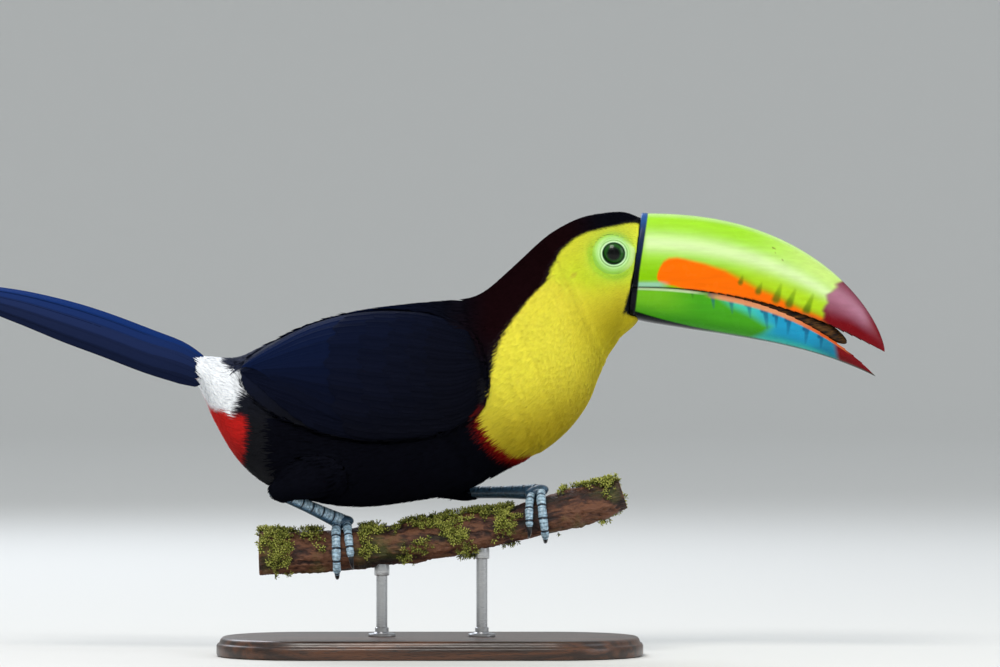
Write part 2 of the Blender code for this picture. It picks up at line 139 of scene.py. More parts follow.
TOES = {
    "second": Toe(-1, 1, 102, 2.2, 9.0),
    "third": Toe(-1, -1, 136, 2.4, 10.5),
    "fourth": Toe(1, -1, 118, 2.3, 10.0),
    "hind": Toe(1, 1, 84, 2.0, 8.0),
}
TOE_OFFSET, TOE_SPREAD, TOE_START, TOE_LIFT = 2.65, 1.4, 12, 2.8
CLAW_RADIUS = 1.45
FOOT_GAP = 0.3

# -------- markings, seen from the side
# Each line is a list of (x, z). The bib's line runs from the bill over the cheek to the breast.
BIB_LINE = [
    (116, 234.4), (112.7, 233.6), (101.5, 231.4), (92.9, 229.8), (84.4, 227.7), (78, 224.5),
    (71.6, 219.1), (68.4, 214.9), (65.2, 208.4), (63.1, 202.1), (58.8, 197.8), (53.5, 192.5),
    (48.1, 185), (43.8, 178.6), (40.6, 172.2), (38.5, 166.9), (34.5, 152), (31.1, 139.1),
    (28.9, 131.6), (30, 125.3), (34.2, 118.8), (40.6, 112.4), (48.1, 108.1), (55.6, 107.6),
    (64, 104),
]
BIB_CORNERS = [(140, 104), (140, 260), (116, 260)]  # they close its outline, ahead of the bird
WHITE_BACK_EDGE = [
    (-108.6, 163), (-107.6, 157), (-104, 150.7), (-100.4, 145.5), (-100, 140.4), (-101.8, 131),
]
WHITE_LOW = 129.5
RED_FRONT_EDGE = [(-98, 133), (-96.2, 128), (-95.0, 121), (-96.4, 109), (-99, 98)]
EAR_AT = (77.0, 204.7)

# Patches of coat: feather length, half breadth, spacing of the roots, and thickness, in mm.
# Softness is how far a feather takes its shading from the body under it.
Patch = namedtuple("Patch", "number length half spacing thick swing softness blade")
PATCHES = {
    "face": Patch(1, 3.4, 0.30, 0.40, 0.08, 5, 0.93, "strand"),
    "throat": Patch(2, 7.5, 0.38, 0.49, 0.08, 3.5, 0.95, "strand"),
    "breast": Patch(3, 10.0, 0.38, 0.58, 0.09, 3.5, 0.95, "strand"),
    "crown": Patch(4, 5.5, 0.48, 0.64, 0.16, 8, 0.85, "strand"),
    "back": Patch(5, 11.0, 0.85, 0.88, 0.16, 5, 0.9, "strand"),
    "belly": Patch(6, 12.0, 0.78, 0.84, 0.16, 7, 0.9, "strand"),
    "rump": Patch(7, 10.0, 0.50, 0.62, 0.18, 10, 0.7, "strand"),
    "thigh": Patch(8, 8.0, 0.6, 0.70, 0.18, 10, 0.85, "strand"),
    "shoulder": Patch(9, 9.0, 1.9, 1.3, 0.20, 6, 0.9, "vane"),
}


# ======== colour and numbers
def colour(code):
    """Linear red, green and blue from an sRGB hex value. A colour setting is linear already."""
    if not isinstance(code, str):
        return tuple(code)[:3]
    parts = [int(code[i : i + 2], 16) / 255 for i in (1, 3, 5)]
    return tuple(c / 12.92 if c <= 0.04045 else ((c + 0.055) / 1.055) ** 2.4 for c in parts)


def ramp(low, high, value):
    """0 below low and 1 above high, or the other way round, with a soft step between."""
    share = np.clip((np.asarray(value, float) - low) / (high - low), 0.0, 1.0)
    return share * share * (3 - 2 * share)


def paint(colours, code, weight):
    """Lays a colour over an array of colours, as thickly as weight says."""
    weight = np.clip(np.asarray(weight, float), 0, 1)[:, None]
    colours += (np.array(colour(code)) - colours) * weight


def plain(code, count):
    """An array of one colour."""
    return np.tile(np.array(colour(code)), (count, 1))


def from_line(x, z, line, closed=()):
    """Distance to a line seen from the side. With closed, it is positive inside the outline
    that the line and those further corners make, and negative outside."""
    spots = np.stack([x, z], -1)[:, None, :]
    path = np.array(line, float)
    start, step = path[:-1], np.diff(path, axis=0)
    share = np.clip(((spots - start) * step).sum(-1) / (step**2).sum(-1), 0, 1)
    near = start + step * share[..., None]
    far = np.sqrt(((spots - near) ** 2).sum(-1)).min(1)
    if not len(closed):
        return far
    loop = np.array([*line, *closed], float)
    inside = np.zeros(len(x), bool)
    for (xa, za), (xb, zb) in zip(loop, np.roll(loop, -1, axis=0)):
        crosses = (za > z) != (zb > z)
        inside ^= crosses & (x < (xb - xa) * (z - za) / (zb - za + 1e-12) + xa)
    return np.where(inside, far, -far)


def between(rows, at):
    """Smooth rows of a table at fractional places, with one Catmull-Rom curve for each column."""
    at = np.atleast_1d(np.asarray(at, float))
    i = np.clip(at.astype(int), 0, len(rows) - 2)
    u = (at - i)[:, None]
    rows = np.vstack([2 * rows[0] - rows[1], rows, 2 * rows[-1] - rows[-2]])
    a, b, c, d = (rows[i + k] for k in range(4))
    return b + 0.5 * u * (c - a + u * (2 * a - 5 * b + 4 * c - d + u * (3 * (b - c) + d - a)))


def unit(vectors):
    return vectors / np.maximum(np.linalg.norm(vectors, axis=-1, keepdims=True), 1e-9)


# ======== forms
def section_points(at, angle, grow=0.0):
    """Points of the body's outline. The angle is from the ridge of the back."""
    top_x, top_z, low_x, low_z, wide, box = between(FLESH, np.asarray(at, float) + STUB).T
    across = np.sign(np.sin(angle)) * np.abs(np.sin(angle)) ** (2 / box)
    up = np.sign(np.cos(angle)) * np.abs(np.cos(angle)) ** (2 / box)
    tall = np.hypot(top_x - low_x, top_z - low_z) / 2
    up = up * (1 + grow / tall)
    x = (top_x + low_x) / 2 + (top_x - low_x) / 2 * up
    z = (top_z + low_z) / 2 + (top_z - low_z) / 2 * up
    return np.stack([x, (wide + grow) * across, z], -1)


def on_body(at, angle, side, lift):
    """Points over the body's surface, on one side of it."""
    at, angle = np.broadcast_arrays(np.asarray(at, float), np.asarray(angle, float))
    shape = at.shape
    at, angle = at.ravel(), angle.ravel()
    here = section_points(at, angle)
    along = section_points(at + 0.01, angle) - here
    around = section_points(at, angle + 0.01) - here
    here = here + unit(np.cross(along, around)) * np.ravel(lift)[:, None]
    here[:, 1] *= side
    return here.reshape(*shape, 3)


def wing_points(u, v, side, share):
    """u runs from the wing's tip to the shoulder, v from its upper edge, -1, to its lower, 1.
    share is 0 on the wing's inner face and 1 on its outer face."""
    u, v = np.broadcast_arrays(np.asarray(u, float), np.asarray(v, float))
    round_off = np.sin(np.pi * np.clip(u, 1e-6, 1 - 1e-6)) ** 0.35
    middle = WING_MIDDLE[0] + WING_MIDDLE[1] * u
    angle = np.radians(middle + v * np.maximum(1.5, WING_SPREAD * round_off))
    at = WING_SECTIONS[0] + (WING_SECTIONS[1] - WING_SECTIONS[0]) * u
    swell = WING_SWELL * np.sqrt(np.maximum(0, 1 - v * v)) * round_off * (0.4 + 0.6 * u)
    return on_body(at, angle, side, 0.6 + (WING_EDGE + swell) * share)


def tail_points(at, turn, share=1.0):
    """The tail's roof: turn runs from -90 degrees over the top to 90, share shrinks it."""
    at, turn = np.broadcast_arrays(np.asarray(at, float), np.asarray(turn, float))
    top_x, top_z, low_x, low_z, wide, _ = between(TAIL, at.ravel()).T
    angle = np.radians(turn.ravel())
    up = np.cos(angle) * share
    x, z = low_x + (top_x - low_x) * up, low_z + (top_z - low_z) * up
    return np.stack([x, wide * share * np.sin(angle), z], -1).reshape(*at.shape, 3)


def perch_centre(x):
    return Vector((x, 0, PERCH_MID_HEIGHT + PERCH_SLOPE * x + PERCH_RISE * x * x))


def perch_up(x):
    return Vector((-PERCH_SLOPE - 2 * PERCH_RISE * x, 0, 1)).normalized()


def perch_radius(x):
    return PERCH_RADIUS - PERCH_TAPER * x + 0.35 * math.sin(x / 9.0)


def round_perch(x, angle, lift):
    """A point near the bark. The angle is from the top, and -90 degrees is the near side."""
    out = perch_up(x) * math.cos(angle) + Vector((0, math.sin(angle), 0))
    return perch_centre(x) + out * (perch_radius(x) + lift)


# ======== meshes
def add_object(name, mesh, *materials):
    made = bpy.data.objects.new(name, mesh)
    for each in materials:
        mesh.materials.append(each)
    bpy.context.scene.collection.objects.link(made)
    return made


def store(mesh, name, values, domain="POINT"):
    """Keeps an array of values on a mesh under a name: tints, patch numbers, vectors or floats."""
    values = np.asarray(values)
    kinds = {"tint": ("FLOAT_COLOR", "color"), "patch": ("INT", "value")}
    plain_kind = ("FLOAT", "value") if values.ndim == 1 else ("FLOAT_VECTOR", "vector")
    kind, field = kinds.get(name, plain_kind)
    if name == "tint":
        values = np.hstack([values, np.ones((len(values), 1))])
    made = mesh.attributes.get(name) or mesh.attributes.new(name, kind, domain)
    made.data.foreach_set(field, np.ascontiguousarray(values.reshape(-1)))


def read(mesh, name="position"):
    """The points of a mesh in millimetres, or another of its arrays of vectors as it is."""
    data = mesh.vertex_normals if name == "normal" else mesh.attributes["position"].data
    values = np.empty(len(mesh.vertices) * 3, np.float32)
    data.foreach_get("vector", values)
    values = values.reshape(-1, 3).astype(float)
    return values / MM if name == "position" else values


def numbers(rows, field, wide=1):
    """A whole-number field of a mesh's edges, corners or faces."""
    values = np.empty(len(rows) * wide, np.int32)
    rows.foreach_get(field, values)
    return values


def move(mesh, points):
    """Puts a mesh's vertices at points in millimetres."""
    mesh.vertices.foreach_set("co", (points * MM).astype(np.float32).ravel())
    mesh.update()


@contextmanager
def editing(mesh):
    """A mesh opened for editing, and written back at the end."""
    bm = bmesh.new()
    bm.from_mesh(mesh)
    yield bm
    bm.to_mesh(mesh)
    bm.free()


def pairs(first, second):
    """Every value of one row with every value of another, as two grids."""
    return np.meshgrid(first, second, indexing="ij")


def flat(u, v):
    """Places on a plan, as vectors."""
    return np.stack([u, v, 0 * u], -1)


def grid_mesh(name, points, wrap=False, caps=False):
    """A mesh over rows of points in millimetres. wrap joins each row's ends."""
    rows, columns = points.shape[:2]
    number = np.arange(rows * columns).reshape(rows, columns)
    if wrap:
        number = np.hstack([number, number[:, :1]])
    quads = np.stack([number[:-1, :-1], number[:-1, 1:], number[1:, 1:], number[1:, :-1]], -1)
    faces = quads.reshape(-1, 4).tolist()
    if caps:
        faces += [list(range(columns))[::-1], [int(n) for n in number[-1, :columns]]]
    mesh = bpy.data.meshes.new(name)
    mesh.from_pydata((points.reshape(-1, 3) * MM).tolist(), [], faces)
    if caps:
        with editing(mesh) as bm:
            bmesh.ops.recalc_face_normals(bm, faces=bm.faces)
    mesh.shade_smooth()
    return mesh


def joined(name, meshes):
    """One mesh from several, with the others removed."""
    mesh = bpy.data.meshes.new(name)
    with editing(mesh) as bm:
        for each in meshes:
            bm.from_mesh(each)
    for each in meshes:
        bpy.data.meshes.remove(each)
    return mesh


def ball_mesh(name, place):
    """A ball. place gives the spot in millimetres of each point of a unit sphere."""
    mesh = bpy.data.meshes.new(name)
    with editing(mesh) as bm:
        bmesh.ops.create_icosphere(bm, subdivisions=4, radius=1.0)
        for v in bm.verts:
            v.co = place(v.co) * MM
    return mesh


def hidden(name, mesh):
    """An object that trees copy or lay feathers on, and that isn't seen itself."""
    made = add_object(name, mesh)
    made.hide_render = made.hide_viewport = True
    return made


def evaluated_mesh(obj, name):
    """A plain mesh of what the object's modifiers make, and the object is removed."""
    graph = bpy.context.evaluated_depsgraph_get()
    mesh = bpy.data.meshes.new_from_object(
        obj.evaluated_get(graph), preserve_all_data_layers=True, depsgraph=graph
    )
    mesh.name = name
    old = obj.data
    bpy.data.objects.remove(obj)
    if old.users == 0:
        bpy.data.meshes.remove(old)
    return mesh


def finish(obj, slot, *nodes):
    """A finished piece rides on the stand's body, in place of the solids it stands for."""
    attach(obj, "root")
    if nodes:
        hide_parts(*nodes)
    return obj


# ======== nodes
def node(tree, kind, *inputs, stops=(), **settings):
    """Adds a node, named without its prefix and with its operation or data type after a space.
    Its sockets are fed as feed says, and stops are a colour ramp's places and colours."""
    kind, _, choice = kind.partition(" ")
    prefixes = ("GeometryNode", "FunctionNode", "ShaderNode", "Node")
    if tree.type == "SHADER":
        prefixes = prefixes[2:]
    made = tree.nodes.new(next(p + kind for p in prefixes if hasattr(bpy.types, p + kind)))
    if choice:
        setattr(made, "operation" if hasattr(made, "operation") else "data_type", choice)
    for key, value in settings.items():
        setattr(made, key, value)
    feed(made, *inputs)
    for _ in stops[2:]:
        made.color_ramp.elements.new(0.5)
    for element, (place, tint) in zip(made.color_ramp.elements if stops else (), stops):
        element.position, element.color = place, (*colour(tint), 1)
    return made


def feed(made, *inputs):
    """Feeds a node's sockets in order, and a last dict feeds them by name. Each input is a
    value, or a socket or a node to link from."""
    sockets = [socket for socket in made.inputs if socket.enabled]
    named = inputs[-1] if inputs and isinstance(inputs[-1], dict) else {}
    fed = list(zip(sockets, inputs[:-1] if named else inputs))
    for key, value in named.items():
        fed.append((next(s for s in sockets if key in (s.name, s.identifier)), value))
    for socket, value in fed:
        if isinstance(value, bpy.types.Node):
            value = next(s for s in value.outputs if s.enabled)
        if isinstance(value, bpy.types.NodeSocket):
            made.id_data.links.new(value, socket)
        else:
            socket.default_value = value


def new_material(name):
    """A material, what adds a node to it, and its shader."""
    made = bpy.data.materials.new(name)
    made.use_nodes = True
    tree = made.node_tree
    tree.nodes.clear()
    shader = node(tree, "BsdfPrincipled")
    node(tree, "OutputMaterial", shader)
    return made, partial(node, tree), shader


def new_tree(name, inputs):
    """A Geometry Nodes tree, what adds a node to it, its named inputs' sockets, and its end."""
    tree = bpy.data.node_groups.new(name, "GeometryNodeTree")
    for label, kind in inputs.items():
        tree.interface.new_socket(label, in_out="INPUT", socket_type=f"NodeSocket{kind}")
    tree.interface.new_socket("Geometry", in_out="OUTPUT", socket_type="NodeSocketGeometry")
    add = partial(node, tree)
    return tree, add, add("GroupInput").outputs, add("GroupOutput")


def grown(name, mesh, tree, **values):
    """A plain mesh of what a tree makes on a mesh, which it uses up. The tree's inputs are
    set by identifier, before it is evaluated."""
    carrier = add_object(name, mesh)
    modifier = carrier.modifiers.new(tree.name, "NODES")
    modifier.node_group = tree
    for item in tree.interface.items_tree:
        if item.in_out == "INPUT" and item.name in values:
            modifier[item.identifier] = values[item.name]
    return evaluated_mesh(carrier, name)


# ======== blades and vanes
def blade(name, outline, top, low=()):
    """A closed blade, one unit long and up to two wide. outline holds (along, half width),
    top and low hold the inner columns of its upper and under side as (across, height)."""
    bm = bmesh.new()
    rows = []
    for along, half in outline:
        if half == 0:
            point = [bm.verts.new((0, along, 0))]
            rows.append((point, point))
            continue
        left, right = (bm.verts.new((half * side, along, 0)) for side in (-1, 1))
        inner = [[bm.verts.new((half * x, along, h)) for x, h in side] for side in (top, low)]
        rows.append(([left, *inner[0], right], [left, *inner[1], right]))
    for near, far in zip(rows, rows[1:]):
        for side in (0, 1):
            a, b = near[side], far[side]
            for k in range(max(len(a), len(b)) - 1):
                corners = [a[min(k, len(a) - 1)], a[min(k + 1, len(a) - 1)]]
                corners += [b[min(k + 1, len(b) - 1)], b[min(k, len(b) - 1)]]
                corners = list(dict.fromkeys(corners))
                bm.faces.new(corners if side == 0 else corners[::-1])
    bmesh.ops.recalc_face_normals(bm, faces=bm.faces)
    for edge in bm.edges:
        up = [face.normal.z > 0 for face in edge.link_faces]
        edge.smooth = len(set(up)) == 1
    for face in bm.faces:
        face.smooth = True
    mesh = bpy.data.meshes.new(name)
    bm.to_mesh(mesh)
    bm.free()
    return hidden(name, mesh)


def make_blades():
    """The blank feathers that the trees copy: fine strands, contour vanes and long quills."""
    quill = []
    for i in range(31):
        a = i / 30
        width = min(1, 0.42 + 2.2 * a) * (1 - max(0, (a - 0.80) / 0.20) ** 2.4) ** 0.5
        quill.append((a, 0 if i in (0, 30) else width))
    columns = [(x, 1 - abs(x) ** 1.6 * 0.9) for x in (-0.75, -0.5, -0.25, -0.05)]
    columns += [(0.0, 1.9)] + [(-x, h) for x, h in columns[::-1]]
    under = [(x, -0.4) for x in (-0.5, 0.0, 0.5)]
    return {
        "strand": blade("strand", [(0, 0), (0.3, 1), (0.7, 0.72), (1, 0)], [(0, 1)]),
        "vane": blade(
            "vane",
            [(0, 0), (0.15, 0.55), (0.38, 0.88), (0.62, 1), (0.82, 0.82), (0.95, 0.4), (1, 0)],
            [(0, 1)],
        ),
        "quill": blade("quill", quill, columns, under),
    }


def plumage_tree():
    """Small feathers over a skin: scattered roots, one blade on each, laid back and settled."""
    tree, add, given, done = new_tree("Plumage", {
        "Skin": "Geometry", "Blade": "Object", "Patch": "Int", "Spacing": "Float",
        "Length": "Float", "Half Breadth": "Float", "Thickness": "Float", "Swing": "Float",
        "Softness": "Float", "Seed": "Int", "Finish": "Material",
    })
    skin, spacing, swing, thickness = (
        given[label] for label in ("Skin", "Spacing", "Swing", "Thickness")
    )
    seed = {"Seed": given["Seed"]}
    lie, vane, root = (
        add("InputNamedAttribute FLOAT_VECTOR", name) for name in ("lie", "vane", "unwrap")
    )
    size, coat, loft = (
        add("InputNamedAttribute FLOAT", name) for name in ("size", "coat", "tone")
    )
    place, normal = add("InputPosition"), add("InputNormal")
    patch = add("InputNamedAttribute INT", "patch")
    chosen = add("Compare", patch, given["Patch"], data_type="INT", operation="EQUAL")
    thick = add("Math DIVIDE", 4.0, add("Math POWER", spacing, 2.0))
    limits = {"Selection": chosen, "Distance Min": spacing, "Density Max": thick, **seed}
    roots = add("DistributePointsOnFaces", skin, limits, distribute_method="POISSON")
    up = roots.outputs["Normal"]
    angle = add("RandomValue", add("Math MULTIPLY", swing, -1.0), swing, seed)
    turned = add("VectorRotate", lie, {"Axis": up, "Angle": angle})
    facing = add("AxesToRotation", up, turned, primary_axis="Z", secondary_axis="Y")
    tone = add("RandomValue", 0.0, 1.0, seed)
    toned = add("StoreNamedAttribute", roots, {"Name": "tone", "Value": tone})
    length = add("Math MULTIPLY", given["Length"], size)
    length = add("Math MULTIPLY", length, add("RandomValue", 0.8, 1.15, {"Seed": 7}))
    half = add("Math MULTIPLY", given["Half Breadth"], add("Math POWER", size, 0.5))
    scale = add("CombineXYZ", half, length, thickness)
    blank = add("ObjectInfo", given["Blade"]).outputs["Geometry"]
    marked = add("StoreNamedAttribute FLOAT_VECTOR", blank, {"Name": "vane", "Value": place})
    stance = {"Instance": marked, "Rotation": facing, "Scale": scale}
    real = add("RealizeInstances", add("InstanceOnPoints", toned, stance))
    # Each point goes to the skin under it, and stands off by the coat's depth towards the tip.
    under, out = (
        add("SampleNearestSurface FLOAT_VECTOR", skin, value) for value in (place, normal)
    )
    _, along, high = add("SeparateXYZ", vane).outputs
    rise = add("Math POWER", along, 0.75)
    rise = add("Math MULTIPLY", rise, add("MapRange", loft, 0.0, 1.0, 0.86, 1.0))
    rise = add("Math MULTIPLY", rise, coat)
    crown = add("Math MULTIPLY_ADD", high, thickness, rise)
    crown = add("Math SUBTRACT", crown, 0.00015)
    spot = add("VectorMath ADD", under, add("VectorMath SCALE", out, crown))
    settled = add("SetPosition", real, {"Position": spot})
    # Shading takes after the body under the feather, so that the coat looks soft.
    facing = add("VectorMath NORMALIZE", add("Mix VECTOR", given["Softness"], normal, out))
    settled = add(
        "SetMeshNormal", settled, {"Custom Normal": facing}, mode="FREE", domain="CORNER"
    )
    # The bake map: a small patch for each feather, at its root's place on the unwrap.
    spot = add("VectorMath ADD", root, add("VectorMath MULTIPLY", vane, (0.0015, 0.003, 0.0)))
    bake = {"Name": "OFBake", "Value": spot}
    mapped = add("StoreNamedAttribute FLOAT2", settled, bake, domain="CORNER")
    feed(done, add("SetMaterial", mapped, {"Material": given["Finish"]}))
    return tree


def laid_tree():
    """Long feathers laid on a form by the form's own plan: each point holds where a quill's
    root and tip lie on the plan, how wide it is there, and how high in the stack."""
    tree, add, given, done = new_tree("Laid feathers", {
        "Quills": "Geometry", "Blade": "Object", "Form": "Object",
        "Thickness": "Float", "Finish": "Material",
    })
    form, blank = (
        add("ObjectInfo", given[label]).outputs["Geometry"] for label in ("Form", "Blade")
    )
    root, tip, vane, shape, plan, strip = (
        add("InputNamedAttribute FLOAT_VECTOR", name)
        for name in ("root", "tip", "vane", "shape", "plan", "strip")
    )
    place, normal = add("InputPosition"), add("InputNormal")
    marked = add("StoreNamedAttribute FLOAT_VECTOR", blank, {"Name": "vane", "Value": place})
    points = add("MeshToPoints", given["Quills"])
    real = add("RealizeInstances", add("InstanceOnPoints", points, {"Instance": marked}))
    across, along, high = add("SeparateXYZ", vane).outputs
    half, bow, layer = add("SeparateXYZ", shape).outputs
    arc = add("Math SINE", add("Math MULTIPLY", along, math.pi))
    side = add("Math MULTIPLY_ADD", across, half, add("Math MULTIPLY", arc, bow))
    spot = add("Mix VECTOR", along, root, tip)
    spot = add("VectorMath ADD", spot, add("CombineXYZ", {"Y": side}))
    spot = add("VectorMath MAXIMUM", spot, (0.002, 0.002, 0.0))
    spot = add("VectorMath MINIMUM", spot, (0.998, 0.998, 0.0))
    room = add("InputNamedAttribute FLOAT", "room")
    under, out, height = (
        add(f"SampleUVSurface {kind}", form, value, plan, spot)
        for kind, value in (("FLOAT_VECTOR", place), ("FLOAT_VECTOR", normal), ("FLOAT", room))
    )
    stack = add("Math MULTIPLY", height, layer)
    stack = add("Math MULTIPLY", stack, add("MapRange", along, 0.0, 0.45, 0.25, 1.0))
    crown = add("Math MULTIPLY_ADD", high, given["Thickness"], stack)
    spot = add("VectorMath ADD", under, add("VectorMath SCALE", out, crown))
    settled = add("SetPosition", real, {"Position": spot})
    # The bake map: a strip of its own for each quill.
    middle, breadth, _ = add("SeparateXYZ", strip).outputs
    spot = add("CombineXYZ", add("Math MULTIPLY_ADD", across, breadth, middle), along)
    bake = {"Name": "OFBake", "Value": spot}
    mapped = add("StoreNamedAttribute FLOAT2", settled, bake, domain="CORNER")
    feed(done, add("SetMaterial", mapped, {"Material": given["Finish"]}))
    return tree


# ======== skin
EVERYWHERE_PASSES, LOCAL_PASSES = 8, 52  # of smoothing the lie: all over, then at the thighs


def spread(first, second):
    """Every value of one row with every value of another, as two flat arrays."""
    return [m.ravel() for m in np.meshgrid(first, second)]


def body_samples():
    """Points over the flesh's forms, each with the lie of the feathers, its form and its plan:
    form 0 is the body, 1 and 2 the left and right wings, 3 and 4 the left and right thighs."""
    at, turn = spread(np.linspace(STUB_END, LAST, 361), np.linspace(-math.pi, math.pi, 241))
    lie = unit(section_points(at - 0.02, turn) - section_points(at + 0.02, turn))
    found = [(section_points(at, turn), lie, np.zeros(len(at)), at, turn)]
    for form, side in ((1, 1), (2, -1)):
        u, v = spread(np.linspace(0, 1, 121), np.linspace(-1, 1, 61))
        lie = unit(wing_points(u - 0.01, v, side, 1.0) - wing_points(u + 0.01, v, side, 1.0))
        found.append((wing_points(u, v, side, 1.0), lie, np.full(len(u), form), u, v))
    thigh, cuff = (np.linspace(0, 1, len(THIGH_RADII)), THIGH_RADII), tuple(zip(*ANKLE))
    low, high = ANKLE[0][0], ANKLE[-1][0]
    for form, leg in ((3, LEGS["left"]), (4, LEGS["right"])):
        hip, ankle, foot = (np.array(spot) for spot in (leg.hip, leg.ankle, foot_centre(leg)))
        for start, step, run, radii in (
            (hip, ankle - hip, (0, 1), thigh), (ankle, unit(foot - ankle), (low, high), cuff)
        ):
            run, turn = spread(np.linspace(*run, 41), np.linspace(0, math.tau, 48))
            along = unit(step)
            across = unit(np.cross(along, (0, 1, 0)))
            ring = across * np.cos(turn)[:, None] + np.cross(along, across) * np.sin(turn)[:, None]
            here = start + step * run[:, None] + ring * np.interp(run, *radii)[:, None]
            share = run if radii is thigh else 1.02 + 0.12 * (run - low) / (high - low)
            lie = np.broadcast_to(along, here.shape)
            found.append((here, lie, np.full(len(run), form), share, turn))
    return [np.concatenate(column) for column in zip(*found)]


def tube_mesh(name, line, along, across):
    """A closed tube through pairs of a centre and a radius, with its rings across along."""
    beside = along.cross(across)
    turns = [math.tau * k / 24 for k in range(24)]
    rings = [
        [centre + (across * math.cos(a) + beside * math.sin(a)) * wide for a in turns]
        for centre, wide in line
    ]
    return grid_mesh(name, np.array(rings), wrap=True, caps=True)


def chin_point(ball):
    """A point of the small feathers under the bill's base."""
    lean = Matrix.Rotation(-math.radians(CHIN_TILT), 3, "Y")
    return Vector(CHIN_AT) + lean @ Vector(c * r for c, r in zip(ball, CHIN_RADII))


def flesh_mesh():
    """The flesh as one closed surface: body, folded wings and thighs, joined by a remesh."""
    at, turn = pairs(np.linspace(STUB_END, LAST, 151), np.linspace(0, math.tau, 96, endpoint=False))
    body = section_points(at.ravel(), turn.ravel()).reshape(*at.shape, 3)
    meshes = [grid_mesh("body", body, wrap=True, caps=True)]
    u, v = pairs((1 - np.cos(np.pi * np.linspace(0, 1, 49))) / 2, np.linspace(-1, 1, 33))
    for side in (1, -1):
        outer, inner = (wing_points(u, v, side, share) for share in (1.0, -0.6))
        ring = np.concatenate([outer, inner[:, ::-1]], axis=1)
        meshes.append(grid_mesh("wing", ring, wrap=True, caps=True))
    for leg in LEGS.values():
        hip, ankle = Vector(leg.hip), Vector(leg.ankle)
        along, down = (ankle - hip).normalized(), foot_centre(leg) - ankle
        line = []
        for i in range(25):
            wide = np.interp(i / 24, np.linspace(0, 1, len(THIGH_RADII)), THIGH_RADII)
            line.append((hip.lerp(ankle, i / 24), wide))
        meshes.append(tube_mesh("thigh", line, along, along.orthogonal().normalized()))
        # The feathering folds round the ankle and ends a little way down the shank.
        line = [(ankle + down.normalized() * far, wide) for far, wide in ANKLE]
        meshes.append(tube_mesh("ankle", line, down.normalized(), down.orthogonal().normalized()))
    meshes.append(ball_mesh("chin", chin_point))
    flesh = add_object("flesh", joined("flesh", meshes))
    remesh = flesh.modifiers.new("Join", "REMESH")
    remesh.mode, remesh.voxel_size = "VOXEL", 1.25 * MM
    remesh.use_smooth_shade = True
    soften = flesh.modifiers.new("Soften", "SMOOTH")
    soften.factor, soften.iterations = 0.5, 4
    return evaluated_mesh(flesh, "skin")


def plan_of(points, samples):
    """For each point: its form, its plan and the lie of the feathers there."""
    here, lie, form, first, second = samples
    tree = kdtree.KDTree(len(here))
    for i, spot in enumerate(here):
        tree.insert(spot, i)
    tree.balance()
    near = np.array([tree.find(spot)[1] for spot in points])
    return form[near].astype(int), first[near], second[near], lie[near]


def coat_depth(form, first, second, x, z):
    """How far the skin lies inside the coat's outline, in millimetres."""
    below = ramp(0.3, -0.7, np.cos(second))
    sections = [STUB_END, -0.4, 0.2, 1.5, 3, 8, 10, 12.5, 14, LAST]
    depth = np.interp(first, sections, [5.0, 3.4, 0.9, 1.6, 2.4, 2.0, 1.5, 0.95, 0.7, 0.6])
    depth = depth + np.where(first < 9, 0.8 * below, 0)
    wing = (form == 1) | (form == 2)
    depth = np.where(form > 2, 1.6, np.where(wing, wing_room(first, np.clip(second, -1, 1)), depth))
    from_bill = np.where((form == 0) & (first > 15), bill_distance(x, z), 99.0)
    depth = np.minimum(depth, 0.15 + 0.13 * np.maximum(from_bill, 0))
    from_eye = eye_distance(x, z)
    near_eye = np.minimum(depth, 0.1 + 0.12 * np.maximum(from_eye - EYE_RADIUS, 0))
    return np.where(first > 13, near_eye, depth)


def eye_distance(x, z):
    """How far from the eye's middle a point is, seen from the side."""
    return np.hypot(x - EYE_AT[0], z - EYE_AT[2])


def bill_distance(x, z):
    """How far behind the head's front plane a point is."""
    top, low = BODY[-1][:2], BODY[-1][2:4]
    along = (top - low) / np.hypot(*(top - low))
    return -((x - low[0]) * along[1] - (z - low[1]) * along[0])


